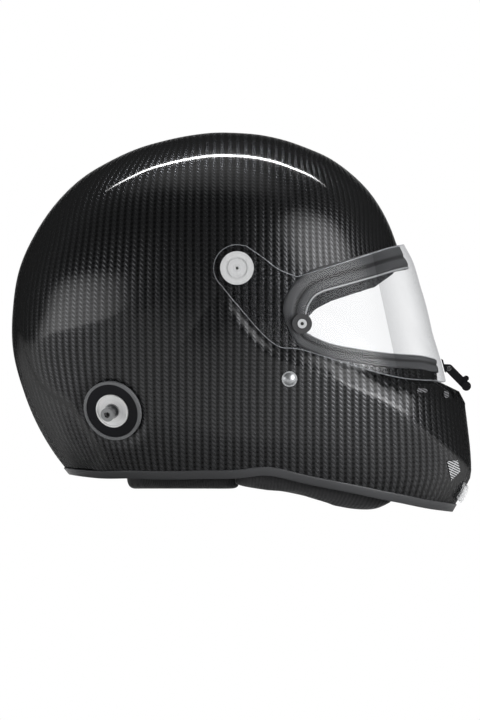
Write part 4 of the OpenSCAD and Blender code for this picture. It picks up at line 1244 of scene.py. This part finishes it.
# Each lamp's name, place, target, size and glow
LAMPS = [
    ("back_strip", (0, 0.64, 1.62), (0, 0, 0.2), (2.3, 0.06), 150),
    ("overhead_softbox", (-0.1, -0.15, 1.75), (0, 0, 0.1), (2.2, 1.4), 0.6),
    ("front_softbox", (1.05, -0.80, 0.62), (0.05, -0.05, 0.12), (1.6, 1.5), 4.4),
    ("rear_softbox", (-1.25, -0.62, 0.10), (-0.05, -0.05, 0.10), (1.9, 0.8), 3.2),
    ("jaw_softbox", (0.95, -0.95, 0.16), (0.1, -0.05, 0.08), (1.4, 0.40), 10),
]


def lamp(name, place, target, size, glow):
    """A softbox of sheets one before another, whose glow adds up and dies away to its edge."""
    aim = Vector(target) - Vector(place)
    rings = 6
    gap = 4 * MM
    for ring in range(rings):
        data = bpy.data.lights.new(name, "AREA")
        data.shape = "ELLIPSE"
        part = 1 - 0.8 * ring / rings
        data.size, data.size_y = (side * part for side in size)
        rise = float(ease((ring + 1) / rings) - ease(ring / rings))
        data.energy = glow * rise * math.pi * math.pi / 4 * data.size * data.size_y
        obj = bpy.data.objects.new(name, data)
        obj.location = Vector(place) + aim.normalized() * gap * ring
        obj.rotation_euler = aim.to_track_quat("-Z", "Y").to_euler()
        bpy.context.scene.collection.objects.link(obj)


def set_stage(look):
    scene = bpy.context.scene
    scene.view_settings.view_transform = "Standard"
    camera = bpy.data.cameras.new("side_camera")
    camera.type = "ORTHO"
    camera.ortho_scale = PHOTO_HEIGHT
    obj = bpy.data.objects.new("side_camera", camera)
    obj.location = CAMERA_PLACE
    obj.rotation_euler = (math.radians(90), 0, 0)
    scene.collection.objects.link(obj)
    scene.camera = obj

    size, drop = 6.0, -0.2 * MM
    floor = mesh_object("studio_floor", [(-size, -size, drop), (size, -size, drop), (size, size, drop),
        (-size, size, drop)], [(0, 1, 2, 3)], False)
    p = Paint("floor_card", Roughness=0.9, Specular_IOR_Level=0.1)
    speck = p.noise(3.0, 2.0)
    p.feed(Base_Color=p.mix(speck, scaled(look.floor, 0.97), look.floor))
    paint(floor, p.mat)

    card = mesh_object("backdrop_card", [(-0.9, 4.5, -0.9), (0.9, 4.5, -0.9), (0.9, 4.5, 1.1),
        (-0.9, 4.5, 1.1)], [(0, 1, 2, 3)], False)
    p = Paint("backdrop_white", Roughness=0.9)
    rays = p.node("LightPath").socket.node
    seen = [Val(p, rays.outputs["Is %s Ray" % kind]) for kind in ("Camera", "Glossy", "Transmission")]
    glow = p.node("Emission", 0, {"Color": (1.0, 1.0, 1.0), "Strength": 1.0})
    shown = p.node("MixShader", 0, {0: seen[0].most(seen[1]).most(seen[2]), 2: glow})
    p.tree.links.new(p.shader.outputs["BSDF"], shown.socket.node.inputs[1])
    p.tree.links.new(shown.socket, p.tree.nodes["Material Output"].inputs["Surface"])
    paint(card, p.mat)

    world = bpy.data.worlds.new("studio")
    scene.world = world
    world.use_nodes = True
    back = world.node_tree.nodes["Background"]
    back.inputs["Color"].default_value = (0.98, 0.99, 1.0, 1)
    back.inputs["Strength"].default_value = 0.15

    for name, place, target, size, glow in LAMPS:
        lamp(name, place, target, size, glow * look.light)


class HELMET_PT_panel(bpy.types.Panel):
    """Lists the steps and the finishes"""
    bl_idname = "HELMET_PT_panel"
    bl_label = "Racing helmet"
    bl_space_type = "VIEW_3D"
    bl_region_type = "UI"
    bl_category = "Helmet"

    def draw(self, context):
        for group in LOOKS:
            look = getattr(context.scene, group)
            for name in look.bl_rna.properties.keys():
                if name not in ("rna_type", "name"):
                    self.layout.prop(look, name)
        for step in STEPS:
            self.layout.operator(step.bl_idname)


LOOKS = {"helmet_shell": HelmetShellLook, "helmet_trim": HelmetTrimLook,
    "helmet_padding": HelmetPaddingLook, "helmet_stage": HelmetStageLook}
STEPS = (HELMET_OT_shell, HELMET_OT_trims, HELMET_OT_screen, HELMET_OT_chin, HELMET_OT_hardware,
    HELMET_OT_padding, HELMET_OT_webbing, HELMET_OT_stage)


def register():
    for cls in (*LOOKS.values(), *STEPS, HELMET_PT_panel):
        bpy.utils.register_class(cls)
    for name, cls in LOOKS.items():
        setattr(bpy.types.Scene, name, bpy.props.PointerProperty(type=cls))


def unregister():
    for name in LOOKS:
        delattr(bpy.types.Scene, name)
    for cls in (HELMET_PT_panel, *STEPS[::-1], *list(LOOKS.values())[::-1]):
        bpy.utils.unregister_class(cls)


def main():
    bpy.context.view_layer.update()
    register()
    bpy.ops.helmet.shell()
    bpy.ops.helmet.trims()
    bpy.ops.helmet.screen()
    bpy.ops.helmet.chin()
    bpy.ops.helmet.hardware()
    bpy.ops.helmet.padding()
    bpy.ops.helmet.webbing()
    bpy.ops.helmet.stage()


if __name__ == "__main__":
    main()
